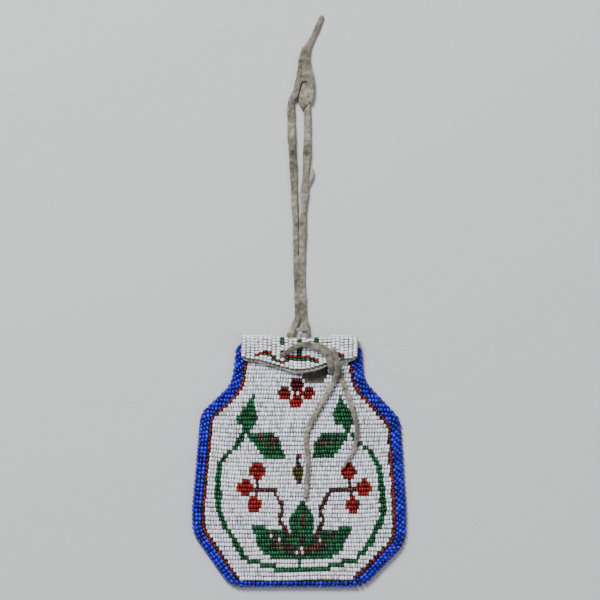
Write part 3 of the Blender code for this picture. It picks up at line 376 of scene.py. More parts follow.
def hem_y(x):
    """Height of the flap's cut edge: a bell curve deeper in the middle, an arc at each corner."""
    across_flap = x - FLAP_SHIFT
    middle = (HEM_MIDDLE - HEM_SIDE) * np.exp(-(across_flap / HEM_SPREAD) ** 2)
    corner = np.clip((np.abs(across_flap) - FLAP_WIDTH / 2 + HEM_CORNER) / HEM_CORNER, 0, 1)
    return FOLD_Y - HEM_SIDE - middle + HEM_CORNER * (1 - np.sqrt(1 - corner ** 2 * HEM_ROUND))


def flap_z(x, y):
    """Outer face of the flap's hide: it follows the front and stands up over the tie.

    There it rises by a bell curve across, times the square of the way down to the hem.
    """
    deep = np.clip((FOLD_CENTRE_Y - y) / (HEM_MIDDLE - FOLD_RADIUS), 0, HEM_LIFT_DEPTH)
    lift = HEM_LIFT * np.exp(-((x - HEM_LIFT_X) / HEM_LIFT_SPREAD) ** 2) * deep ** 2
    return 2 * FOLD_RADIUS + bulge(x, y) + lift


def smooth_route(points, spacing):
    """Even points along the smooth curve through the given ones (Catmull-Rom)."""
    points = np.array(points, dtype=float)
    padded = np.vstack([2 * points[0] - points[1], points, 2 * points[-1] - points[-2]])
    t = np.linspace(0, 1, 24, endpoint=False)[:, None]
    pieces = []
    for p0, p1, p2, p3 in zip(padded, padded[1:], padded[2:], padded[3:]):
        bend = 2 * p0 - 5 * p1 + 4 * p2 - p3
        twist = 3 * p1 - p0 - 3 * p2 + p3
        pieces.append(0.5 * (2 * p1 + (p2 - p0) * t + bend * t ** 2 + twist * t ** 3))
    pieces.append(padded[-2][None, :])
    fine = np.concatenate(pieces)
    length = length_of(fine)
    return points_at(fine, np.linspace(0, length, max(3, round(length / spacing) + 1)))


def put_in(name, points, faces, material, replaced=()):
    """Add a smooth mesh at the origin that rides on the bag and replaces some CAD nodes.

    faces is an array where all have as many corners, and else a list.
    """
    if isinstance(faces, list):
        sizes = np.array([len(face) for face in faces])
        corners = np.concatenate(faces)
    else:
        sizes = np.full(len(faces), faces.shape[1])
        corners = faces.ravel()
    starts = np.append(0, np.cumsum(sizes)[:-1])
    mesh = bpy.data.meshes.new(name)
    mesh.vertices.add(len(points))
    mesh.vertices.foreach_set("co", np.asarray(points, dtype=np.float32).ravel())
    mesh.loops.add(len(corners))
    mesh.loops.foreach_set("vertex_index", corners.astype(np.int32))
    mesh.polygons.add(len(sizes))
    mesh.polygons.foreach_set("loop_start", starts.astype(np.int32))
    mesh.update(calc_edges=True)
    mesh.validate()
    mesh.shade_smooth()
    mesh.materials.append(material)
    obj = bpy.data.objects.new(name, mesh)
    bpy.context.scene.collection.objects.link(obj)
    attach(obj, "root")
    if replaced:
        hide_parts(*replaced)
    return obj


# Laces: their routes in mm, and the widths along them as shares of each one's full width

LACE = 2.6 * MM
TIE = 2.1 * MM
CROSS_ROLL_WIDTH = 1.9 * MM
KNOT_WIDTH = 2.8 * MM
LACE_STEP = 0.55                  # mm from one ring to the next
LACE_SIDES = 18
LACE_SQUARENESS = 0.16
LACE_ENDS = (2.0, 0.75)           # how many rings draw in at an end, and how far
WIDTH_WAVES = [(0.05, 2.3), (0.04, 0.9)]    # share of the width, mm for a radian of the wave
LEAN_WAVE = (0.25, 5.5)           # radians, mm for a radian of the wave
CROWN_CREASE = (0.14, 0.33)       # depth as a share of the height, width in radians
KNOT_LIFT = 1.0 * MM              # of the tails' starts, up to the knot
FLOOR_CLEAR = 0.05 * MM

HANGER_LEFT = [(-3.6, 51.9, 2.95), (-3.7, 54.0, 2.9), (-1.9, 58.4, 1.9), (-0.5, 61.9, 1.3),
               (-0.6, 68.7, 1.2), (-0.8, 75.2, 1.2), (-1.3, 88.1, 1.2), (-1.5, 102.7, 1.3),
               (-2.0, 113.0, 1.5), (-2.4, 125.5, 1.6), (-3.1, 138.4, 1.7), (-3.4, 150.9, 1.7),
               (-3.0, 155.0, 1.6), (-1.7, 158.6, 1.1), (-0.3, 163.0, 0.9), (0.6, 167.5, 0.9),
               (1.1, 171.5, 0.9)]
LEFT_WIDTHS = [1.1, 1.05, 1.0, 1.0, 0.98, 0.92, 0.85, 0.95, 1.08, 1.15, 1.25, 1.3, 1.33, 1.33,
               0.95, 0.6, 0.5]
HANGER_RIGHT = [(2.9, 51.9, 2.95), (3.0, 54.0, 2.9), (2.7, 58.4, 1.9), (2.1, 61.9, 1.3),
                (1.9, 68.7, 1.2), (1.5, 75.2, 1.2), (1.4, 88.1, 1.3), (1.7, 101.4, 1.4),
                (2.0, 106.6, 1.5), (2.3, 114.7, 1.6), (2.8, 119.5, 1.6), (3.1, 124.2, 1.7),
                (3.4, 130.2, 1.7), (3.6, 138.4, 1.7), (3.6, 150.9, 1.7), (3.5, 154.0, 1.5),
                (3.2, 157.5, 0.9), (3.2, 163.0, 0.9), (3.4, 168.0, 0.9), (3.3, 171.5, 0.9)]
RIGHT_WIDTHS = [1.2, 1.2, 1.1, 1.0, 1.0, 0.95, 1.1, 1.3, 1.12, 0.95, 1.35, 1.25, 1.15, 1.4, 1.1,
                1.15, 1.05, 0.65, 0.6, 0.5]
CROSS_ROLL = [(-1.1, 56.2, 3.3), (1.3, 56.7, 4.1), (3.8, 55.9, 3.6)]
TORN_SPUR = [(2.9, 117.0, 1.5), (4.5, 120.4, 1.6), (5.6, 123.4, 1.5), (5.3, 126.8, 1.4)]
TIE_ARC = [(-6.9, 45.2, 5.2), (-6.3, 45.9, 7.0), (-3.6, 48.0, 9.6), (0.0, 49.8, 9.7),
           (4.0, 50.0, 9.6), (7.8, 49.3, 9.7), (10.8, 47.9, 9.9), (12.6, 46.0, 10.4),
           (13.2, 43.6, 10.8), (13.7, 41.6, 10.0), (13.9, 40.1, 8.4), (13.4, 39.0, 6.4),
           (12.7, 38.6, 4.6)]
TIE_WIDTHS = [1.0, 0.95, 0.95, 1.0, 1.1, 1.35, 1.6, 1.7, 1.65, 1.5, 1.2, 0.8]
KNOT = [(14.9, 48.8, 9.4), (15.6, 45.2, 10.3), (16.4, 42.0, 9.8), (16.7, 39.3, 8.4),
        (16.1, 36.8, 7.2), (15.2, 34.6, 6.3)]
KNOT_WIDTHS = [0.5, 0.75, 0.95, 1.0, 0.85, 0.6]
TAIL_LEFT = [(16.3, 37.6), (15.0, 34.4), (10.4, 26.2), (4.8, 16.1), (3.1, 10.1), (3.8, 0.2),
             (3.4, -9.1), (2.7, -15.8)]
TAIL_RIGHT = [(17.5, 39.6), (17.9, 36.6), (21.2, 27.7), (23.7, 20.0), (24.9, 13.1), (23.7, 6.2),
              (21.2, 1.5), (19.0, -2.6)]


def on_field(points, diameter):
    """Middle line of a lace that lies on the rows, in mm; its start is lifted to the knot."""
    flat = np.array(points, dtype=float)
    height = EDGE_Z + bulge(flat[:, 0] * MM, flat[:, 1] * MM) + GAP + diameter / 2
    height[0] += KNOT_LIFT
    return np.column_stack([flat, height / MM])


def oblong(squareness):
    """Angles, outs and rises of a rounded oblong: 1 / (cos^4 + sin^4)^squareness from its middle."""
    angles = np.linspace(0, math.tau, LACE_SIDES, endpoint=False)
    radius = (np.abs(np.cos(angles)) ** 4 + np.abs(np.sin(angles)) ** 4) ** -squareness
    return angles, np.cos(angles) * radius, np.sin(angles) * radius


def drawn_in(count, rings, share):
    """Factors for the sizes of rings: those at both ends draw in along an arc."""
    order = np.arange(count)
    inward = np.minimum(np.minimum(order, order[::-1]) / rings, 1.0)
    return np.sqrt(1 - (1 - inward) ** 2 * share)[:, None]


def ring_faces(rings, sides):
    """Quads between rings of points, with a face over each end."""
    index = np.arange(rings * sides).reshape(rings, sides)
    after = np.roll(index, -1, axis=1)
    quads = np.stack([index[:-1], after[:-1], after[1:], index[1:]], axis=-1).reshape(-1, 4)
    return [*quads, index[0][::-1], index[-1]]


def lace(name, route, diameter, widths, flat, turn=0.0, replaced=()):
    """Cut hide lace: flat rings along a smooth line. Returns the piece and the line.

    A ring is a rounded oblong, wide across and flat up, with a shallow crease along its
    crown where the lace was rolled. It leans by a slow wave and a steady turn, and its
    width wanders by a few hundredths in two waves, because it was cut by hand.
    """
    points = smooth_route(np.array(route) * MM, LACE_STEP * MM)
    count = len(points)
    along = unit(np.gradient(points, axis=0))
    across = unit(np.cross(np.array([0, 0, 1.0]), along))
    up = np.cross(along, across)
    shares = np.linspace(0, 1, count)
    way = shares * count * LACE_STEP
    phases = random.uniform(0, 6.28, 4)     # the last one is spare
    wander = 1
    for (share, wave), phase in zip(WIDTH_WAVES, phases):
        wander = wander + share * np.sin(way / wave + phase)
    lean = (turn * shares + LEAN_WAVE[0] * np.sin(way / LEAN_WAVE[1] + phases[2]))[:, None]
    angles, out, rise = oblong(LACE_SQUARENESS)
    depth, reach = CROWN_CREASE
    rise = rise * (1 - depth * np.exp(-((angles - math.pi / 2) / reach) ** 2)) * flat
    size = (diameter / 2 * (spread(widths, shares) * wander))[:, None]
    size = size * drawn_in(count, *LACE_ENDS)
    turned_out = out * np.cos(lean) - rise * np.sin(lean)
    turned_up = out * np.sin(lean) + rise * np.cos(lean)
    rings = points[:, None, :] + (turned_out * size)[:, :, None] * across[:, None, :]
    rings = rings + (turned_up * size)[:, :, None] * up[:, None, :]
    rings[:, :, 2] = np.maximum(rings[:, :, 2], FLOOR_CLEAR)
    faces = ring_faces(count, LACE_SIDES)
    return put_in(name, rings.reshape(-1, 3), faces, HIDE_LACE, replaced), points


def add_laces(join, tongue):
    """Hanger, cross roll, torn spur, tie, knot and tails; join and tongue are not used."""
    left, left_path = lace("lace_hanger_left", HANGER_LEFT, LACE, LEFT_WIDTHS, 0.66, 0.3,
                           ["hanger_left"])
    right, right_path = lace("lace_hanger_right", HANGER_RIGHT, LACE, RIGHT_WIDTHS, 0.66, -0.4,
                             ["hanger_right"])
    lace("lace_cross_roll", CROSS_ROLL, CROSS_ROLL_WIDTH, (0.8, 1.0, 0.8), 0.9)
    lace("lace_torn_spur", TORN_SPUR, LACE, (0.8, 0.9, 0.7, 0.25), 0.5)
    arc, arc_path = lace("lace_tie_arc", TIE_ARC, TIE, TIE_WIDTHS, 0.7, 0.0, ["tie_arc"])
    knot, _ = lace("lace_tie_knot", KNOT, KNOT_WIDTH, KNOT_WIDTHS, 0.8, 0.3, ["tie_knot"])
    for word, route, widths, turn in (
            ("left", TAIL_LEFT, (1.15, 1.1, 1.0, 0.9, 0.7), 0.4),
            ("right", TAIL_RIGHT, (0.9, 1.1, 0.95, 0.8, 0.45), -0.4)):
        tail, tail_path = lace("lace_tail_" + word, on_field(route, TIE), TIE, widths, 0.75, turn,
                               ["tie_tail_" + word])


# Beads

BEAD_PROFILE = np.array([         # (along its axis, out from it) in shares of length and radius
    (-0.5, 0.66), (-0.28, 0.98), (0.28, 0.98), (0.5, 0.66), (0.44, 0.34), (-0.44, 0.34)])


def beads(name, places, axes, crowns, sizes, tones, material, slot, replaced=()):
    """Rings of glass: a rounded profile turned about each bead's own axis.

    crowns point out of the beading; sizes holds each bead's length along its thread and its
    diameter. "rise" is 1 less the product of how much the profile is drawn in and how far
    round from the crown a point lies; the glass turns it into painted shade at the ends' flanks.
    """
    count, rings = len(places), len(BEAD_PROFILE)
    axes = unit(axes)
    side = unit(np.cross(crowns, axes))
    up = np.cross(axes, side)
    spin = random.uniform(0, math.tau, count)[:, None]
    spin = spin + np.linspace(0, math.tau, BEAD_SIDES, endpoint=False)
    along = (BEAD_PROFILE[:, 0] * sizes[:, :1])[:, :, None, None] * axes[:, None, None, :]
    out = (BEAD_PROFILE[:, 1] * sizes[:, 1:])[:, :, None, None] / 2
    cos, sin = np.cos(spin)[:, None, :, None], np.sin(spin)[:, None, :, None]
    points = places[:, None, None, :] + along
    points = points + out * (cos * side[:, None, None, :] + sin * up[:, None, None, :])
    index = np.arange(rings * BEAD_SIDES).reshape(rings, BEAD_SIDES)
    after = np.roll(index, -1, axis=1)
    below = np.roll(index, -1, axis=0)
    corner = np.roll(below, -1, axis=1)
    quads = np.stack([index, after, corner, below], axis=-1).reshape(-1, 4)
    faces = (quads + index.size * np.arange(count)[:, None, None]).reshape(-1, 4)
    obj = put_in(name, points.reshape(-1, 3), faces, material, replaced)
    # rise drives the painted shade of the groove at the flanks of each bead's ends
    drawn = 1 - BEAD_PROFILE[:, 1][None, :, None]
    rise = 1 - FLANK_SHADE_FALL * drawn * (1 - np.sin(spin)[:, None, :])
    for word, values in (("tone", np.repeat(tones, index.size)), ("rise", rise)):
        layer = obj.data.attributes.new(word, "FLOAT", "POINT")
        layer.data.foreach_set("value", values.ravel().astype(np.float32))
    return obj


def put_beads(name, chosen, values, glass, slot, node):
    """One piece of the beads chosen out of all places, axes, crowns, sizes and tones."""
    replaced = [node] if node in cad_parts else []
    beads(name, *(value[chosen] for value in values), glass, slot, replaced)


def bead_sizes(count, length=BEAD_LENGTH, diameter=BEAD_DIAMETER):
    """Lengths and diameters of seed beads: each differs a little from the next."""
    lengths = length * (LENGTHS[0] + random.normal(0, LENGTHS[1], count))
    diameters = diameter * (DIAMETERS[0] + random.normal(0, DIAMETERS[1], count))
    return np.column_stack([lengths, np.minimum(diameters, diameter * WIDEST)])


def inside(outline, x, y):
    """Which points lie inside a closed outline: they cross it an odd number of times."""
    outline = np.asarray(outline)
    after = np.roll(outline, -1, axis=0)
    found = np.zeros(x.shape, dtype=bool)
    for (x0, y0), (x1, y1) in zip(outline, after):
        if y0 != y1:
            crossing = x0 + (y - y0) * (x1 - x0) / (y1 - y0)
            found ^= ((y0 > y) != (y1 > y)) & (x < crossing)
    return found


def near_line(points, x, y, reach_x, reach_y):
    """Which beads a thin line runs over, counting each within its own half length and width."""
    found = np.zeros(x.shape, dtype=bool)
    for line_x, line_y in smooth_route(points, LINE_STEP):
        found |= (np.abs(x - line_x) < reach_x) & (np.abs(y - line_y) < reach_y)
    return found


# Pattern of the front, in mm from its own middle line, which wanders a little, and over its
# lowest level, which lies PATTERN_LIFT over the base
MIDDLE_LINE = [(0.0, 0.5), (24.0, 1.5), (40.0, 0.7), (60.0, -0.45), (80.0, -0.95)]  # height, x
PATTERN_LIFT = 1.3
THIN = (0.52 * BEAD_LENGTH, 0.5 * ROW_PITCH)        # reach of a line one bead thick
VINE_HALF_WIDTH = 1.12 * BEAD_LENGTH
VINE_LEFT = [(-23.4, 62.0), (-25.4, 58.1), (-28.3, 54.7), (-32.3, 51.3), (-34.3, 47.4),
             (-35.3, 38.3), (-35.3, 29.9), (-34.2, 24.5), (-30.9, 19.2), (-27.2, 13.6),
             (-25.2, 10.6), (-24.0, 8.6)]
VINE_RIGHT = [(24.0, 61.2), (25.8, 58.1), (29.4, 55.5), (32.8, 51.0), (34.4, 45.9), (34.7, 37.5),
              (34.8, 29.1), (33.4, 24.2), (31.3, 20.0), (29.6, 15.4), (27.9, 13.0), (26.5, 11.1),
              (25.0, 9.0)]
VINE_FOOT = [(-23.4, 8.1), (-17.2, 6.3), (-11.0, 4.5), (-7.0, 3.7), (0.0, 3.6), (7.0, 3.7),
             (10.9, 4.5), (17.3, 6.3), (24.0, 8.1)]
VINE_STEM = [(-0.1, 4.6), (-0.1, 8.6)]
TWIGS = {
    "berry_stem_left": [[(-18.1, 45.9), (-18.7, 39.0), (-20.4, 31.4)],
                        [(-23.5, 38.2), (-18.9, 38.0), (-11.4, 37.8), (-10.6, 35.6),
                         (-9.6, 33.7), (-7.9, 29.1), (-9.8, 26.0), (-8.9, 23.0), (-6.9, 20.3),
                         (-5.6, 18.0)]],
    "berry_stem_right": [[(21.2, 45.9), (20.9, 39.0), (22.0, 31.8)],
                         [(26.2, 38.2), (20.9, 38.1), (13.2, 37.9), (11.9, 36.0), (10.3, 33.7),
                          (8.0, 28.7), (9.1, 26.0), (8.3, 23.0), (6.5, 19.9), (5.8, 18.0)]],
    "acorn_stem": [[(-0.5, 47.8), (-0.7, 50.1), (0.2, 52.6)], [(-0.5, 42.2), (-0.4, 40.9)]],
}
BERRY = (3.15, 3.3, 2.1)          # half width, half length and roundness
BERRIES = {
    "berry_left_upper": (-18.1, 46.0), "berry_left_outer": (-23.7, 38.8),
    "berry_left_lower": (-20.3, 31.5), "berry_right_upper": (21.1, 46.0),
    "berry_right_outer": (27.0, 38.8), "berry_right_lower": (21.9, 31.5),
}
LEAVES = {
    "plant_leaf_left": [(-21.2, 22.7), (-17.0, 22.4), (-15.0, 21.2), (-6.4, 20.4), (-2.1, 15.3),
                        (-0.1, 8.0), (-9.8, 8.0), (-14.4, 9.8), (-17.6, 12.0), (-20.0, 18.0)],
    "plant_leaf_right": [(21.4, 22.7), (17.4, 22.4), (15.0, 21.0), (5.4, 19.6), (2.5, 16.6),
                         (0.9, 12.0), (0.5, 8.0), (10.2, 8.0), (14.8, 9.8), (17.6, 12.0),
                         (19.9, 17.6)],
    "lower_leaf_left": [(-21.6, 62.4), (-11.0, 62.4), (-8.4, 60.1), (-6.7, 55.5), (-6.0, 50.8),
                        (-13.6, 50.8), (-18.1, 56.0), (-21.0, 59.5)],
    "lower_leaf_right": [(21.6, 62.4), (11.2, 62.4), (8.0, 60.1), (6.6, 57.0), (5.6, 51.0),
                         (13.6, 51.0), (17.2, 55.1), (21.0, 59.5)],
    "upper_leaf_left": [(-18.2, 78.0), (-17.6, 73.4), (-17.3, 69.4), (-17.5, 67.2),
                        (-19.8, 63.9), (-21.4, 62.0), (-23.2, 62.0), (-23.6, 64.6),
                        (-25.9, 67.6), (-25.4, 69.6), (-22.4, 73.0), (-19.4, 78.0)],
    "upper_leaf_right": [(19.5, 78.0), (20.8, 74.0), (23.3, 71.1), (23.9, 68.1), (23.1, 64.6),
                         (22.6, 62.0), (20.9, 62.0), (19.6, 64.6), (16.3, 66.9), (15.3, 69.2),
                         (16.4, 72.4), (18.4, 78.0)],
    "plant_leaf_centre": [(1.0, 33.4), (3.2, 29.1), (5.5, 24.1), (4.4, 19.9), (2.2, 15.3),
                          (1.3, 8.0), (-0.4, 8.0), (-2.8, 15.3), (-4.8, 19.9), (-6.0, 24.1),
                          (-3.0, 29.1), (-0.1, 33.4)],
}
LOWER_VEINS = [[(-16.5, 60.6), (-11.5, 59.0), (-7.6, 57.6)], [(-13.6, 58.6), (-11.4, 54.2)]]
PLANT_VEINS = [[(-1.0, 11.4), (-7.5, 15.0), (-13.8, 19.0)], [(-3.0, 11.6), (-12.3, 14.4)]]
CENTRE_VEIN = [(0.5, 29.6), (0.3, 20.0), (0.2, 11.6)]
VEIN_SHARE = 0.78                 # of a vein's beads are dark, the others stay green
PALE_SPOTS = [(-12.7, 18.5), (-2.2, 11.3), (0.6, 13.3), (0.9, 11.2), (-9.5, 16.2), (8.4, 15.6)]
FLOWER = (-0.1, 79.4)             # its middle; four lobes lie across it and along it
FLOWER_ACROSS = (7.6, 2.8, 3.0)   # half width, half length and roundness of the lobes
FLOWER_ALONG = (3.2, 6.9, 2.5)
FLOWER_SPOTS = [(-2.6, 1.8), (2.5, 1.8), (-1.7, 0.0), (0.9, 0.0), (-2.3, -1.8), (2.3, -1.8)]
FLOWER_SHADE_TONES = [(-5.4, 1.0), (-1.0, 0.65), (2.0, 0.4), (3.5, 0.05)]   # height over its middle, tone: painted shade of the flap's hem, deepest at the top lobe
ACORN = (-0.8, 45.0)
ACORN_SIZE = (4.5, 6.6)
WINDOW = [(2.0, 11.4), (4.0, 13.1), (9.0, 13.1), (11.4, 11.2), (12.8, 9.9), (14.0, 8.2),
          (14.8, 5.4), (14.8, 3.0), (2.2, 3.0)]     # x and depth under the mouth

# Rows of the front
ROW_LIFT = 0.4 * MM               # the first row keeps this far off the base edge
ROW_SLACK = (-0.15 * MM, 0.35 * MM)       # least and most left free at a row's ends
ROW_STRAY = (0.035 * MM, 0.045 * MM, 0.05 * MM)     # of a bead along its row, across and up
ROW_LEAN = 0.05                   # stray of a bead's axis
ROW_TURN = 1.1                    # mm by which a row's ends turn up at the belly
TURN_START = 22 * MM              # distance from the middle where that begins
TURN_REACH = 21 * MM
FIELD_PARTS = 3                   # the white rows are put in as so many pieces


def place(points, side=1):
    """Points on the front of points of the pattern; side -1 mirrors them."""
    flat = np.array(points, dtype=float)
    heights, middles = zip(*MIDDLE_LINE)
    x = np.interp(flat[:, 1], heights, middles) + side * flat[:, 0]
    return np.column_stack([x * MM, BASE_Y + (PATTERN_LIFT + flat[:, 1]) * MM])


def oval(x, y, width, length):
    """Outline of an oval round a point."""
    angles = np.linspace(0, math.tau, 24, endpoint=False)
    return np.column_stack([x + width / 2 * np.cos(angles), y + length / 2 * np.sin(angles)])


def lobes(x, y, spot, shape):
    """Which beads lie in a rounded shape round a spot of the pattern: |x/a|^n + |y/b|^n < 1."""
    half_width, half_length, power = shape
    middle = place([spot])[0]
    along_x = np.abs(x - middle[0]) / (half_width * MM)
    along_y = np.abs(y - middle[1]) / (half_length * MM)
    return along_x ** power + along_y ** power < 1


def field_beads():
    """Middle and row of every bead of the front's rows.

    A row wanders up and down by a quarter of a millimetre in two slow waves, turns up
    towards both ends where the bag is widest, and its beads differ a little in size. The
    hide under them is puckered by a tenth of a millimetre.
    """
    places = []
    for row in range(FIELD_ROWS):
        level = BASE_Y + ROW_LIFT + (row + 0.5) * ROW_PITCH
        left, right = sides_at(FIELD_LINE, level)
        slack = random.uniform(*ROW_SLACK, 2)
        start = left + BEAD_LENGTH / 2 + slack[0]
        count = int((right - slack[1] - start) / BEAD_LENGTH + 0.6)
        x = start + np.arange(count) * BEAD_LENGTH + random.normal(0, ROW_STRAY[0], count)
        phase = 0.22 * row
        sway = 0.22 * np.sin(x / (11 * MM) + phase) + 0.12 * np.sin(x / (4.7 * MM) - 2.1 * phase)
        wide = math.sin(math.pi * (row + 0.5) / FIELD_ROWS)
        turn = ROW_TURN * wide * np.clip((np.abs(x) - TURN_START) / TURN_REACH, 0, 1) ** 2
        y = level + (sway + turn) * MM + random.normal(0, ROW_STRAY[1], count)
        places.append(np.column_stack([x, y, np.full(count, row)]))
    flat = np.concatenate(places)
    pucker = 0.12 * MM * np.sin(flat[:, 0] / (6.1 * MM) + 1.3 * np.sin(flat[:, 1] / (9 * MM)))
    height = FRONT_Z + BEAD / 2 + bulge(flat[:, 0], flat[:, 1]) + pucker
    height = height + random.normal(0, ROW_STRAY[2], len(flat))
    return np.column_stack([flat[:, :2], height]), flat[:, 2]


def front_labels(places):
    """The piece that each bead of the front belongs to, by the shapes of the pattern."""
    x, y = places[:, 0], places[:, 1]
    labels = np.full(len(x), "field_beads", dtype="U32")
    for points in (VINE_FOOT, VINE_STEM):
        labels[near_line(place(points), x, y, *THIN)] = "vine"
    for points in (VINE_LEFT, VINE_RIGHT):
        line = smooth_route(place(points), 2 * LINE_STEP)
        line = line[np.argsort(line[:, 1])]
        beside = np.abs(x - np.interp(y, line[:, 1], line[:, 0])) < VINE_HALF_WIDTH
        labels[beside & (y > line[0, 1]) & (y < line[-1, 1] + ROW_PITCH / 2)] = "vine"
    for name, outline in LEAVES.items():
        labels[inside(place(outline), x, y)] = name
    for name, lines in TWIGS.items():
        for line in lines:
            labels[near_line(place(line), x, y, *THIN)] = name
    for name, spot in BERRIES.items():
        labels[lobes(x, y, spot, BERRY)] = name
    labels[lobes(x, y, FLOWER, FLOWER_ACROSS) | lobes(x, y, FLOWER, FLOWER_ALONG)] = "flower"
    middle = place([ACORN])[0]
    labels[inside(oval(*middle, *(np.array(ACORN_SIZE) * MM)), x, y)] = "acorn"
    green = np.isin(labels, [name for name in LEAVES if "upper" not in name])
    veins = [(line, side) for line in LOWER_VEINS + PLANT_VEINS for side in (1, -1)]
    for line, side in veins + [(CENTRE_VEIN, 1)]:
        vein = near_line(place(line, side), x, y, *THIN) & (random.random(len(x)) < VEIN_SHARE)
        labels[vein & green] = "vein_beads"
    middle = place([FLOWER])[0]
    spots = [(spot, "pale_beads") for spot in place(PALE_SPOTS)]
    spots += [(middle + np.array(spot) * MM, "flower_lights") for spot in FLOWER_SPOTS]
    for spot, name in spots:
        away = np.hypot((x - spot[0]) / BEAD_LENGTH, (y - spot[1]) / ROW_PITCH)
        labels[np.argmin(away)] = name
    window = np.array([(window_x * MM, MOUTH_Y - depth * MM) for window_x, depth in WINDOW])
    labels[inside(window, x, y)] = "none"
    return labels


FRONT_KINDS = {                   # first letters of a piece: glass and slot
    "field": (WHITE_GLASS, "white_beads"),
    "flower_lights": (WHITE_GLASS, "white_beads"),
    "flower": (RED_GLASS, "red_beads"),
    "upper_leaf": (GREEN_GLASS, "green_beads"),
    "lower_leaf": (GREEN_GLASS, "green_beads"),
    "plant_leaf": (GREEN_GLASS, "green_beads"),
    "vine": (GREEN_GLASS, "green_beads"),
    "berry_stem": (DARK_GLASS, "dark_beads"),
    "berry": (BERRY_GLASS, "berry_beads"),
    "acorn_stem": (DARK_GLASS, "dark_beads"),
    "acorn": (OLIVE_GLASS, "olive_beads"),
    "vein": (DARK_GLASS, "dark_beads"),
    "pale": (PALE_GLASS, "white_beads"),
}


def add_front():
    """Every bead of the front, one piece for each motif and three for the white rows.

    A bead's crown points out of the bulge and its axis runs along its row. The flower's
    tones darken from its bottom lobe to its top one, as painted shade of the flap's hem over it.
    """
    places, rows = field_beads()
    labels = front_labels(places)
    x, y = places[:, 0], places[:, 1]
    count = len(places)
    step = np.full(count, 2 * MM)
    slope_x = bulge(x + MM, y) - bulge(x - MM, y)
    slope_y = bulge(x, y + MM) - bulge(x, y - MM)
    crowns = np.column_stack([-slope_x, -slope_y, step]) / (2 * MM)
    axes = np.column_stack([step, np.zeros(count), slope_x]) / (2 * MM)
    axes = axes + random.normal(0, ROW_LEAN, (count, 3))
    sizes = bead_sizes(count)
    tones = random.random(count)
    # painted shade: the flower darkens towards its top lobe, under the flap's hem
    heights, fades = zip(*FLOWER_SHADE_TONES)
    above = y - place([FLOWER])[0, 1]
    flower_shade = np.interp(above, np.array(heights) * MM, fades)
    tones = np.where(labels == "flower", flower_shade * (0.6 + 0.4 * tones), tones)
    values = (places, axes, crowns, sizes, tones)
    part = (rows * FIELD_PARTS // FIELD_ROWS).astype(int)
    for label in sorted(set(labels) - {"none"}):
        glass, slot = next(kind for word, kind in FRONT_KINDS.items() if label.startswith(word))
        chosen = labels == label
        if label != "field_beads":
            put_beads("beads_" + label, chosen, values, glass, slot, label)
            continue
        for number in range(FIELD_PARTS):
            put_beads(f"beads_field_{number + 1}", chosen & (part == number), values, glass, slot,
                      None if number else label)


add_front()


# Rolled edging

LEAN = [(0.0, 1.15), (0.10, 1.0), (0.15, 0.3), (0.19, 0.04), (0.42, 0.0), (0.6, 0.0),
        (0.68, -0.55), (0.74, -0.8), (0.82, -1.1), (1.0, -1.1)]    # share of the edge, tangent
EDGE_RUN = 5.0 * MM               # the wraps run on so far past both ends of the edge
EDGE_TOPS = (101.9 * MM, 99.5 * MM)       # but end at these heights over the base, left and right
EDGE_LENGTH = 1.4 * MM            # the edging's beads are longer
EDGE_DIAMETER = 1.77 * MM
RED_LENGTH = 1.3 * MM
RED_SHIFT = 0.12 * MM             # the red bead keeps so much nearer to the rows
RED_GAP = (2.1 * MM, 4.0 * MM)    # one more red bead goes where two stand so far apart
WRAP_BEADS = 9
WRAP_GAP = 0.1 * MM               # between the rows and a wrap
INNER_REACH = 0.25 * MM           # a wrap begins no further out than this from the hide's edge
INNER_STEPS = 60
BASE_NORMAL = -0.96               # the base is where the outward normal points down past this
RIM_RADIUS = 2.15 * MM            # of the line of bead middles round the hide's edge
RIM_Z = EDGE_Z - BEAD / 2 - RIM_RADIUS
RIM_LOW = 0.93 * MM               # the lowest bead middle, just over the floor
TUCK_TURN = 1.9                   # a bead this far round the rim (radians) is tucked under it
TUCK_OUT = 0.85 * MM
LAST_TURN = 2.6                   # radians round the rim where every wrap ends
WRAP_STRAY = (0.05 * MM, 0.06 * MM)       # of a bead along its wrap and across
WRAP_LEAN = 0.04                  # stray of a bead's axis


def edge_points(at):
    """Points at distances along the hide's edge, which runs straight up past both its ends."""
    flat = points_at(HIDE_LINE, at)
    flat[:, 1] += np.where(at < 0, -at, np.maximum(at - length_of(HIDE_LINE), 0))
    return flat


def edge_frame(at):
    """Points, outward normals and directions at distances along the hide's edge."""
    along = unit(edge_points(at + MM) - edge_points(at - MM))
    return edge_points(at), np.column_stack([along[:, 1], -along[:, 0]]), along


def wrap_starts():
    """Distance along the edge and lean of each wrap; square to them they are a pitch apart."""
    total = length_of(HIDE_LINE)
    starts = [-EDGE_RUN]
    while starts[-1] < total + EDGE_RUN:
        lean = np.interp(starts[-1] / total, *zip(*LEAN))
        starts.append(starts[-1] + ROLL_PITCH * math.sqrt(1 + lean ** 2))
    starts = np.array(starts)
    return starts, np.interp(starts / total, *zip(*LEAN))


def wrap_inners(line, outward):
    """How far out from the hide's edge each wrap begins: just outside the field's outline."""
    steps = np.linspace(-FIELD_INSET, INNER_REACH, INNER_STEPS)
    spots = line[:, None, :] + outward[:, None, :] * steps[None, :, None]
    in_field = inside(FIELD_LINE, spots[:, :, 0], spots[:, :, 1])
    last_in = INNER_STEPS - 1 - np.argmax(in_field[:, ::-1], axis=1)
    return np.where(in_field.any(axis=1), steps[last_in], steps[0])


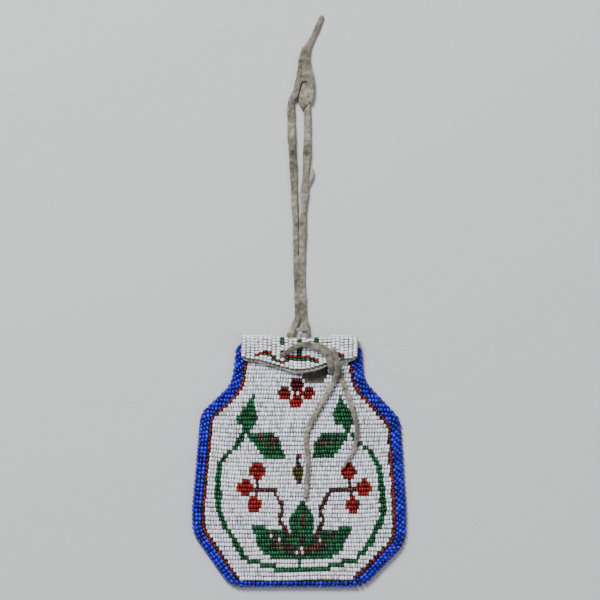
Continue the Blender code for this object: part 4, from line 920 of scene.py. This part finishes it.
def wrap_beads():
    """Places, axes, crowns and side of the beads of all wraps, the red ones and the blue.

    A wrap runs over the front and then round the rim on a circle; its last bead turns in
    under it to the hides' edge. The wraps stand side by side. They are square to the edge at
    the base and the left belly, and lean down along it elsewhere, most at the neck.
    """
    starts, lean = wrap_starts()
    count = len(starts)
    line, outward, _ = edge_frame(starts)
    inner = wrap_inners(line, outward)
    on_base = outward[:, 1] < BASE_NORMAL
    outwards = np.where(on_base, 1.0, 1 / np.sqrt(1 + lean ** 2))
    groups = {"red": [], "blue": []}
    for step in range(WRAP_BEADS):
        centre = (0.5 + step) * EDGE_LENGTH - RED_SHIFT * (step == 0)
        reach = inner + WRAP_GAP + centre * outwards
        reach = reach + random.normal(0, WRAP_STRAY[0], count)
        turn = np.clip(reach, 0, None) / RIM_RADIUS
        tucked = turn > TUCK_TURN
        out = np.where(reach > 0, RIM_RADIUS * np.sin(turn), reach)
        out = np.where(tucked, TUCK_OUT, out)
        high = RIM_Z + RIM_RADIUS * np.where(reach > 0, np.cos(turn), 1.0)
        high = np.maximum(high, RIM_LOW)
        shift = lean * (reach - inner) + random.normal(0, WRAP_STRAY[1], count)
        here, normal, forward = edge_frame(starts + shift)
        places = np.column_stack([here + normal * out[:, None], high])
        axes = np.column_stack([normal * np.cos(turn)[:, None], -np.sin(turn)])
        axes = axes + np.column_stack([forward * lean[:, None], np.zeros(count)])
        axes = np.where(tucked[:, None], np.column_stack([normal, np.zeros(count)]), axes)
        axes = axes + random.normal(0, WRAP_LEAN, axes.shape)
        crowns = np.column_stack([normal * np.sin(turn)[:, None], np.cos(turn)])
        on_left = here[:, 0] < 0
        kept = (places[:, 1] < BASE_Y + np.where(on_left, *EDGE_TOPS)) & (turn < LAST_TURN)
        red = ~on_base & (step == 0)
        for word, chosen in (("red", kept & red), ("blue", kept & ~red)):
            groups[word].append([value[chosen] for value in (places, axes, crowns, on_left)])
    return [[np.concatenate(value) for value in zip(*group)] for group in groups.values()]


def add_edging():
    """Wraps of beads over both hide edges: one red bead inside, then blue round the rim."""
    red, blue = wrap_beads()
    places, on_left = red[0], red[-1]
    apart = np.linalg.norm(places[1:] - places[:-1], axis=1)
    wide = (apart > RED_GAP[0]) & (apart < RED_GAP[1]) & (on_left[1:] == on_left[:-1])
    between = [(places[1:] + places[:-1]) / 2, *(value[1:] for value in red[1:])]
    *red, on_left = [np.concatenate([value, extra[wide]]) for value, extra in zip(red, between)]
    for word, chosen in (("left", on_left), ("right", ~on_left)):
        count = int(chosen.sum())
        beads("beads_red_edge_" + word, *(value[chosen] for value in red),
              bead_sizes(count, RED_LENGTH), random.random(count), BRICK_GLASS, "brick_beads",
              ["red_edge_" + word])
    count = len(blue[0])
    beads("beads_blue_edging", *blue[:-1], bead_sizes(count, EDGE_LENGTH, EDGE_DIAMETER),
          random.random(count), BLUE_GLASS, "blue_beads", ["blue_edging"])


add_edging()


# Flap

SCALLOP_LEFT = [(-18.5, 7.3), (-15.4, 6.2), (-13.3, 5.8), (-11.6, 7.2), (-9.7, 9.1), (-7.8, 10.4),
                (-5.6, 9.3), (-3.4, 8.3), (0.0, 7.9), (1.8, 8.1), (3.9, 8.3), (7.6, 9.4)]
SCALLOP_RIGHT = [(14.8, 7.2), (16.2, 6.6), (17.6, 7.4), (18.6, 7.9)]
GREEN_LINES = [SCALLOP_LEFT[1:5], SCALLOP_LEFT[6:], [(15.6, 6.9), (16.6, 6.8), (17.6, 7.4)]]
BAR_SPOTS = (-7.2, 0.0, 7.2)
BAR_DROP = (-1.4, 2.8)
STEM_DROP = (4.5, 6.9)
TIE_HOLE = (5.0 * MM, 2.9 * MM)
FOLD_START = 17                   # degrees round the fold where the columns' lines begin
FOLD_DIP = 1.5 * MM               # the middle columns begin so much lower than the outer ones
FOLD_DIP_SPREAD = 13.0 * MM
COLUMN_LIFT = 0.1 * MM            # gap between the hide and the beads
COLUMN_SWAY = 0.1 * MM
COLUMN_START = (0.2 * MM, 0.9 * MM)       # least and most left free before a column
COLUMN_STRAY = 0.04 * MM          # of a bead
COLUMN_LEAN = 0.06                # stray of its axis
AXIS_STEP = 0.4 * MM              # a bead's axis follows the path this far to both sides
THIN_ON_FLAP = (0.52 * COLUMN_PITCH, 0.55 * BEAD_LENGTH)
LEVEL_REACH = 0.53 * BEAD_LENGTH


def flap_path(x):
    """Middle line of the column of beads at x: round the fold, then down to the hem."""
    lift = BEAD / 2 + COLUMN_LIFT
    angles = np.radians(np.linspace(FOLD_START, 90, 30))
    round_y = FOLD_CENTRE_Y + (FOLD_RADIUS + lift) * np.cos(angles)
    round_z = FOLD_RADIUS + (FOLD_RADIUS + lift) * np.sin(angles)
    y = np.linspace(FOLD_CENTRE_Y, hem_y(x) + HEM_BORDER, 60)[1:]
    z = flap_z(x, y) + lift
    return np.column_stack([np.full(len(angles) + len(y), x), np.append(round_y, y),
                            np.append(round_z, z)])


def flap_place(points):
    """Points of the flap's pattern, in mm from its middle and down from the fold."""
    return [(FLAP_SHIFT + x * MM, FOLD_Y - y * MM) for x, y in points]


def flap_columns():
    """Middle and axis of every bead of the flap's columns.

    The beads of a column fill its path evenly. The path sways by a tenth of a millimetre,
    and the columns begin lowest in the middle of the fold.
    """
    places, axes = [], []
    for column in range(FLAP_COLUMNS):
        x = FLAP_SHIFT + (column + 0.5 - FLAP_COLUMNS / 2) * COLUMN_PITCH
        path = flap_path(x)
        path[:, 0] += COLUMN_SWAY * np.sin(path[:, 1] / (2.6 * MM) + column)
        start = random.uniform(*COLUMN_START)
        room = length_of(path) - start
        fitted = round(room / BEAD_LENGTH)
        at = start + (np.arange(fitted) + 0.5) * room / fitted
        here = points_at(path, at)
        dip = FOLD_DIP * math.exp(-(x / FOLD_DIP_SPREAD) ** 2) + random.uniform(-0.2, 0.2) * MM
        low = here[:, 1] < FOLD_Y + BEAD / 2 - dip
        here, at = here[low], at[low]
        along = unit(points_at(path, at + AXIS_STEP) - points_at(path, at - AXIS_STEP))
        places.append(here + random.normal(0, COLUMN_STRAY, here.shape))
        axes.append(along + random.normal(0, COLUMN_LEAN, here.shape))
    return np.concatenate(places), np.concatenate(axes)


def flap_labels(x, y):
    """The piece that each bead of the flap belongs to, by the shapes of its small pattern."""
    labels = np.full(len(x), "flap_beads", dtype="U32")

    def on_level(line, drop):
        """One bead of each column: the one that a line of the pattern crosses."""
        line_x, line_y = np.array(flap_place(line)).T
        away = np.abs(y - np.interp(x, line_x, line_y) + drop * BEAD_LENGTH)
        reach = COLUMN_PITCH / 2
        return (away < LEVEL_REACH) & (x > line_x[0] - reach) & (x < line_x[-1] + reach)

    words = ("left", "middle", "right")
    for line, word in zip(GREEN_LINES, words):
        labels[on_level(line, 1)] = "flap_scallop_green_" + word
    for line, word in ((SCALLOP_LEFT, "left"), (SCALLOP_RIGHT, "right")):
        labels[on_level(line, 0)] = "flap_scallop_red_" + word
    uprights = [(spot, BAR_DROP, "flap_bar_" + word) for spot, word in zip(BAR_SPOTS, words)]
    for spot, drop, name in uprights + [(0.0, STEM_DROP, "flap_stem")]:
        upright = flap_place([(spot, drop[0]), (spot, drop[1])])
        labels[near_line(upright, x, y, *THIN_ON_FLAP)] = name
    hole = oval(TIE_ARC[1][0] * MM, TIE_ARC[1][1] * MM, *TIE_HOLE)
    labels[inside(hole, x, y)] = "none"
    return labels


def add_flap_beads():
    """Columns of beads from the fold to the hem, one piece for each motif of the flap.

    A bead's crown points square out of its column and of the line across the flap.
    """
    places, axes = flap_columns()
    count = len(places)
    labels = flap_labels(places[:, 0], places[:, 1])
    crowns = np.cross(axes, [1.0, 0, 0])
    values = (places, axes, crowns, bead_sizes(count), random.random(count))
    for label in sorted(set(labels) - {"none"}):
        glass, slot = GREEN_GLASS, "green_beads"
        if label == "flap_beads":
            glass, slot = FLAP_GLASS, "white_beads"
        elif "red" in label:
            glass, slot = RED_GLASS, "brick_beads"
        put_beads("beads_" + label, labels == label, values, glass, slot, label)


add_flap_beads()


# Hide

CUT_EDGE = 0.28 * MM              # the radius of the hides' cut edges
HIDE_SIT = 0.02 * MM              # the hides keep so much off the base line and the floor
FRONT_SINK = 0.05 * MM            # both faces of the front hide lie so far inside its solid's
BACK_TOP = 100.6 * MM             # height over the base where the fold begins
CREASE = 0.09 * MM
CREASE_FADE = 8 * MM              # from the base up


def grid_faces(rows, columns):
    """Quads of a grid of points."""
    index = np.arange(rows * columns).reshape(rows, columns)
    return np.stack([index[:-1, :-1], index[:-1, 1:], index[1:, 1:], index[1:, :-1]],
                    axis=-1).reshape(-1, 4)


def thickened(obj, thickness):
    """Give an open face its thickness inwards, with softly rounded cut edges."""
    solid = obj.modifiers.new("hide", "SOLIDIFY")
    solid.thickness = thickness
    solid.offset = -1
    solid.use_even_offset = True
    cut = obj.modifiers.new("cut edge", "BEVEL")
    cut.width = CUT_EDGE
    cut.segments = 2
    cut.limit_method = "ANGLE"
    cut.angle_limit = math.radians(50)
    cut.use_clamp_overlap = True


def shares_across(columns):
    """Shares of the way from the middle to both sides, closer together near the sides."""
    return np.sin(np.linspace(-1, 1, columns) * math.pi / 2)


def across_hide(share, y):
    """x at shares of the way from the middle to the sides of the hide, at heights y."""
    left, right = sides_at(HIDE_LINE, y)
    return np.where(share < 0, -share * left, share * right)


def add_front_hide():
    """Front hide: a grid that bulges over the pocket and shows in the window."""
    rows, columns = 90, 61
    y = np.linspace(BASE_Y + HIDE_SIT, MOUTH_Y, rows)[:, None]
    x = across_hide(shares_across(columns)[None, :], y)
    y = np.repeat(y, columns, axis=1)
    z = FRONT_Z - FRONT_SINK + bulge(x, y)
    points = np.stack([x, y, z], axis=2).reshape(-1, 3)
    obj = put_in("hide_front", points, grid_faces(rows, columns), FRONT_HIDE,
                 ["front_panel"])
    thickened(obj, HIDE - 2 * FRONT_SINK)


def add_back_hide():
    """Back hide with its flap: flat on the floor, round the fold, over the mouth to the hem.

    Its rows run across: level ones on the floor, then round a half circle, then evenly down
    to the hem. The hem is cut ragged by a tenth of a millimetre, and the back has soft
    shallow creases, the squares of bent waves, that only lift away from the floor.
    """
    share = shares_across(81)
    columns = len(share)
    flap_x = FLAP_SHIFT + share * FLAP_WIDTH / 2
    rows = []
    for y in np.linspace(BASE_Y + HIDE_SIT, BASE_Y + BACK_TOP, 110):
        x = across_hide(share, y)
        inner = np.clip((1 - np.abs(share)) * 4, 0, 1) * np.clip((y - BASE_Y) / CREASE_FADE, 0, 1)
        crease = np.sin(x / (7 * MM) + 2.2 * np.sin(y / (13 * MM)) + y / (19 * MM))
        z = HIDE_SIT + CREASE * inner * np.clip(crease, 0, 1) ** 2
        rows.append(np.column_stack([x, np.full(columns, y), z]))
    for angle in np.radians(np.linspace(-90, 80, 18)):
        y = FOLD_CENTRE_Y + FOLD_RADIUS * math.cos(angle)
        z = FOLD_RADIUS * (1 + math.sin(angle))
        rows.append(np.column_stack([flap_x, np.full(columns, y), np.full(columns, z)]))
    ragged = 0.1 * MM * np.sin(flap_x / (1.7 * MM)) + 0.07 * MM * np.sin(flap_x / (0.61 * MM) + 1)
    hem = hem_y(flap_x) + ragged
    for part in np.linspace(0, 1, 34):
        y = FOLD_CENTRE_Y + (hem - FOLD_CENTRE_Y) * part
        rows.append(np.column_stack([flap_x, y, flap_z(flap_x, y)]))
    faces = grid_faces(len(rows), columns)[:, ::-1]
    obj = put_in("hide_back_and_flap", np.concatenate(rows), faces, SMOKED_HIDE,
                 ["back_panel"])
    thickened(obj, HIDE)


add_front_hide()
add_back_hide()


# Join of the hanger: lines, widths and undersides of its strips in mm

JOIN_HIDE = 1.6 * MM              # thickness of the broad end, and of the strips laid over it
STRIP_HIDE = 1.4 * MM
STRIP_STEP = 0.5 * MM             # from one section to the next
STRIP_SQUARENESS = 0.2
STRIP_ENDS = (3.0, 0.8)           # how many sections draw in at an end, and how far
STRIP_WAVE = (0.03, 37)           # share of the width, radians of the wave over the length
STRIP_ROUND = 2.2                 # a little over 2: the section's crown keeps within its thickness
JOIN_SPINE = [(10.3, 191.5), (9.0, 188.6), (7.6, 185.3), (5.2, 180.4), (3.4, 177.0),
              (2.4, 173.6), (2.3, 170.0), (2.5, 166.4), (2.5, 162.9)]
JOIN_WIDTHS = [1.7, 2.3, 2.5, 2.4, 3.0, 4.4, 5.3, 6.8, 7.6]
JOIN_LOWS = [0.1, 0.1, 0.1, 0.2, 0.7, 1.2, 1.5, 1.5, 1.5]
NOTCH_SPINE = [(1.8, 178.0), (1.8, 176.4), (2.2, 174.7)]
NOTCH_WIDTHS = [0.9, 1.5, 1.6]
NOTCH_LOWS = [0.3, 0.9]
BAND_LEFT_SPINE = [(0.6, 166.8), (0.0, 163.4), (-0.7, 161.2), (-1.4, 157.6), (-1.9, 155.4)]
BAND_LEFT_WIDTHS = [2.6, 2.9, 2.7, 2.5, 1.7]
BAND_LEFT_LOWS = [1.6, 1.8, 2.2]
BAND_RIGHT_SPINE = [(4.2, 166.8), (4.8, 163.4), (5.0, 160.2), (5.1, 157.0), (4.9, 153.6)]
BAND_RIGHT_WIDTHS = [2.6, 3.4, 3.3, 2.6, 1.3]
BAND_RIGHT_LOWS = [1.6, 1.9, 1.6]
TONGUE_SPINE = [(2.4, 162.6), (2.4, 160.4), (2.5, 157.8), (2.4, 155.2), (1.7, 153.3),
                (1.3, 151.4)]
TONGUE_WIDTHS = [1.2, 2.9, 4.3, 5.1, 4.0, 2.0]
TONGUE_LOWS = [1.3, 1.4, 1.5, 2.2, 2.3, 2.0]


def flat_lace(name, spine, widths, lows, thickness, replaced=()):
    """Flat strip of lace: rounded oblongs of changing width and height carried along a line."""
    line = smooth_route(np.array(spine) * MM, STRIP_STEP)
    count = len(line)
    along = unit(np.gradient(line, axis=0))
    across = np.column_stack([-along[:, 1], along[:, 0]])
    shares = np.linspace(0, 1, count)
    wave, radians = STRIP_WAVE
    width = spread(widths, shares) * MM * (1 + wave * np.sin(shares * radians))
    low = spread(lows, shares)[:, None] * MM
    _, out, rise = oblong(STRIP_SQUARENESS)
    size = drawn_in(count, *STRIP_ENDS)
    flat = line[:, None, :] + (out * size * width[:, None] / 2)[:, :, None] * across[:, None, :]
    up = low + thickness / 2 + rise * size * thickness / STRIP_ROUND
    rings = np.concatenate([flat, up[:, :, None]], axis=2)
    return put_in(name, rings.reshape(-1, 3), ring_faces(count, LACE_SIDES), HIDE_LACE,
                  replaced)


def add_join():
    """Broad slit end with its tail, a notch on it, two bands beside the slit, and the tongue."""
    join = flat_lace("lace_join", JOIN_SPINE, JOIN_WIDTHS, JOIN_LOWS, JOIN_HIDE, ["hanger_join"])
    flat_lace("lace_notch", NOTCH_SPINE, NOTCH_WIDTHS, NOTCH_LOWS, STRIP_HIDE)
    flat_lace("lace_band_left", BAND_LEFT_SPINE, BAND_LEFT_WIDTHS, BAND_LEFT_LOWS, STRIP_HIDE)
    flat_lace("lace_band_right", BAND_RIGHT_SPINE, BAND_RIGHT_WIDTHS, BAND_RIGHT_LOWS, STRIP_HIDE)
    tongue = flat_lace("lace_tongue", TONGUE_SPINE, TONGUE_WIDTHS, TONGUE_LOWS, HIDE,
                       ["hanger_tongue"])
    return join, tongue


add_laces(*add_join())


# Floor and light

FLOOR_REACH = 1.5
AIM = np.array([0, 0.05, 0])      # the point that the lamps look at


def add_floor():
    """A plain pale sheet of matt card, with a faint speckle of about a millimetre."""
    material, tree, shader = new_material("pale_card", {"Roughness": 0.9})
    where = add_node(tree, "TexCoord")
    speck = add_node(tree, "TexNoise", {"Scale": 900.0, "Detail": 2.0},
                     {"Vector": (where, "Object")})
    ramp = add_node(tree, "ValToRGB", links={"Fac": (speck, "Fac")})
    set_stops(ramp, [(0.3, "#c9cacb"), (0.7, "#d0d1d2")])
    tree.links.new(ramp.outputs["Color"], shader.inputs["Base Color"])
    mesh = bpy.data.meshes.new("floor")
    corners = ((-1, -1), (1, -1), (1, 1), (-1, 1))
    mesh.from_pydata([(x * FLOOR_REACH, y * FLOOR_REACH, 0) for x, y in corners], [],
                     [(0, 1, 2, 3)])
    mesh.materials.append(material)
    obj = bpy.data.objects.new("floor", mesh)
    bpy.context.scene.collection.objects.link(obj)


def add_light(name, spot, size, power):
    """A square soft box that looks at the bag."""
    light = bpy.data.lights.new(name, "AREA")
    light.size = size
    light.energy = power
    obj = bpy.data.objects.new(name, light)
    obj.location = spot
    x, y, z = AIM - np.array(spot)
    obj.rotation_euler = (math.atan2(math.hypot(x, y), -z), 0, math.atan2(y, x) - math.pi / 2)
    bpy.context.scene.collection.objects.link(obj)


def add_world(colour, strength):
    """Even light from all around."""
    world = bpy.data.worlds.new("studio")
    world.use_nodes = True
    background = world.node_tree.nodes["Background"]
    background.inputs["Color"].default_value = (*linear(colour), 1.0)
    background.inputs["Strength"].default_value = strength
    bpy.context.scene.world = world


add_floor()
add_light("key", (-0.45, 0.95, 1.15), 0.45, 34.0)
add_light("fill", (0.9, -0.5, 1.2), 1.2, 4.0)
add_world("#e8eaee", 0.37)
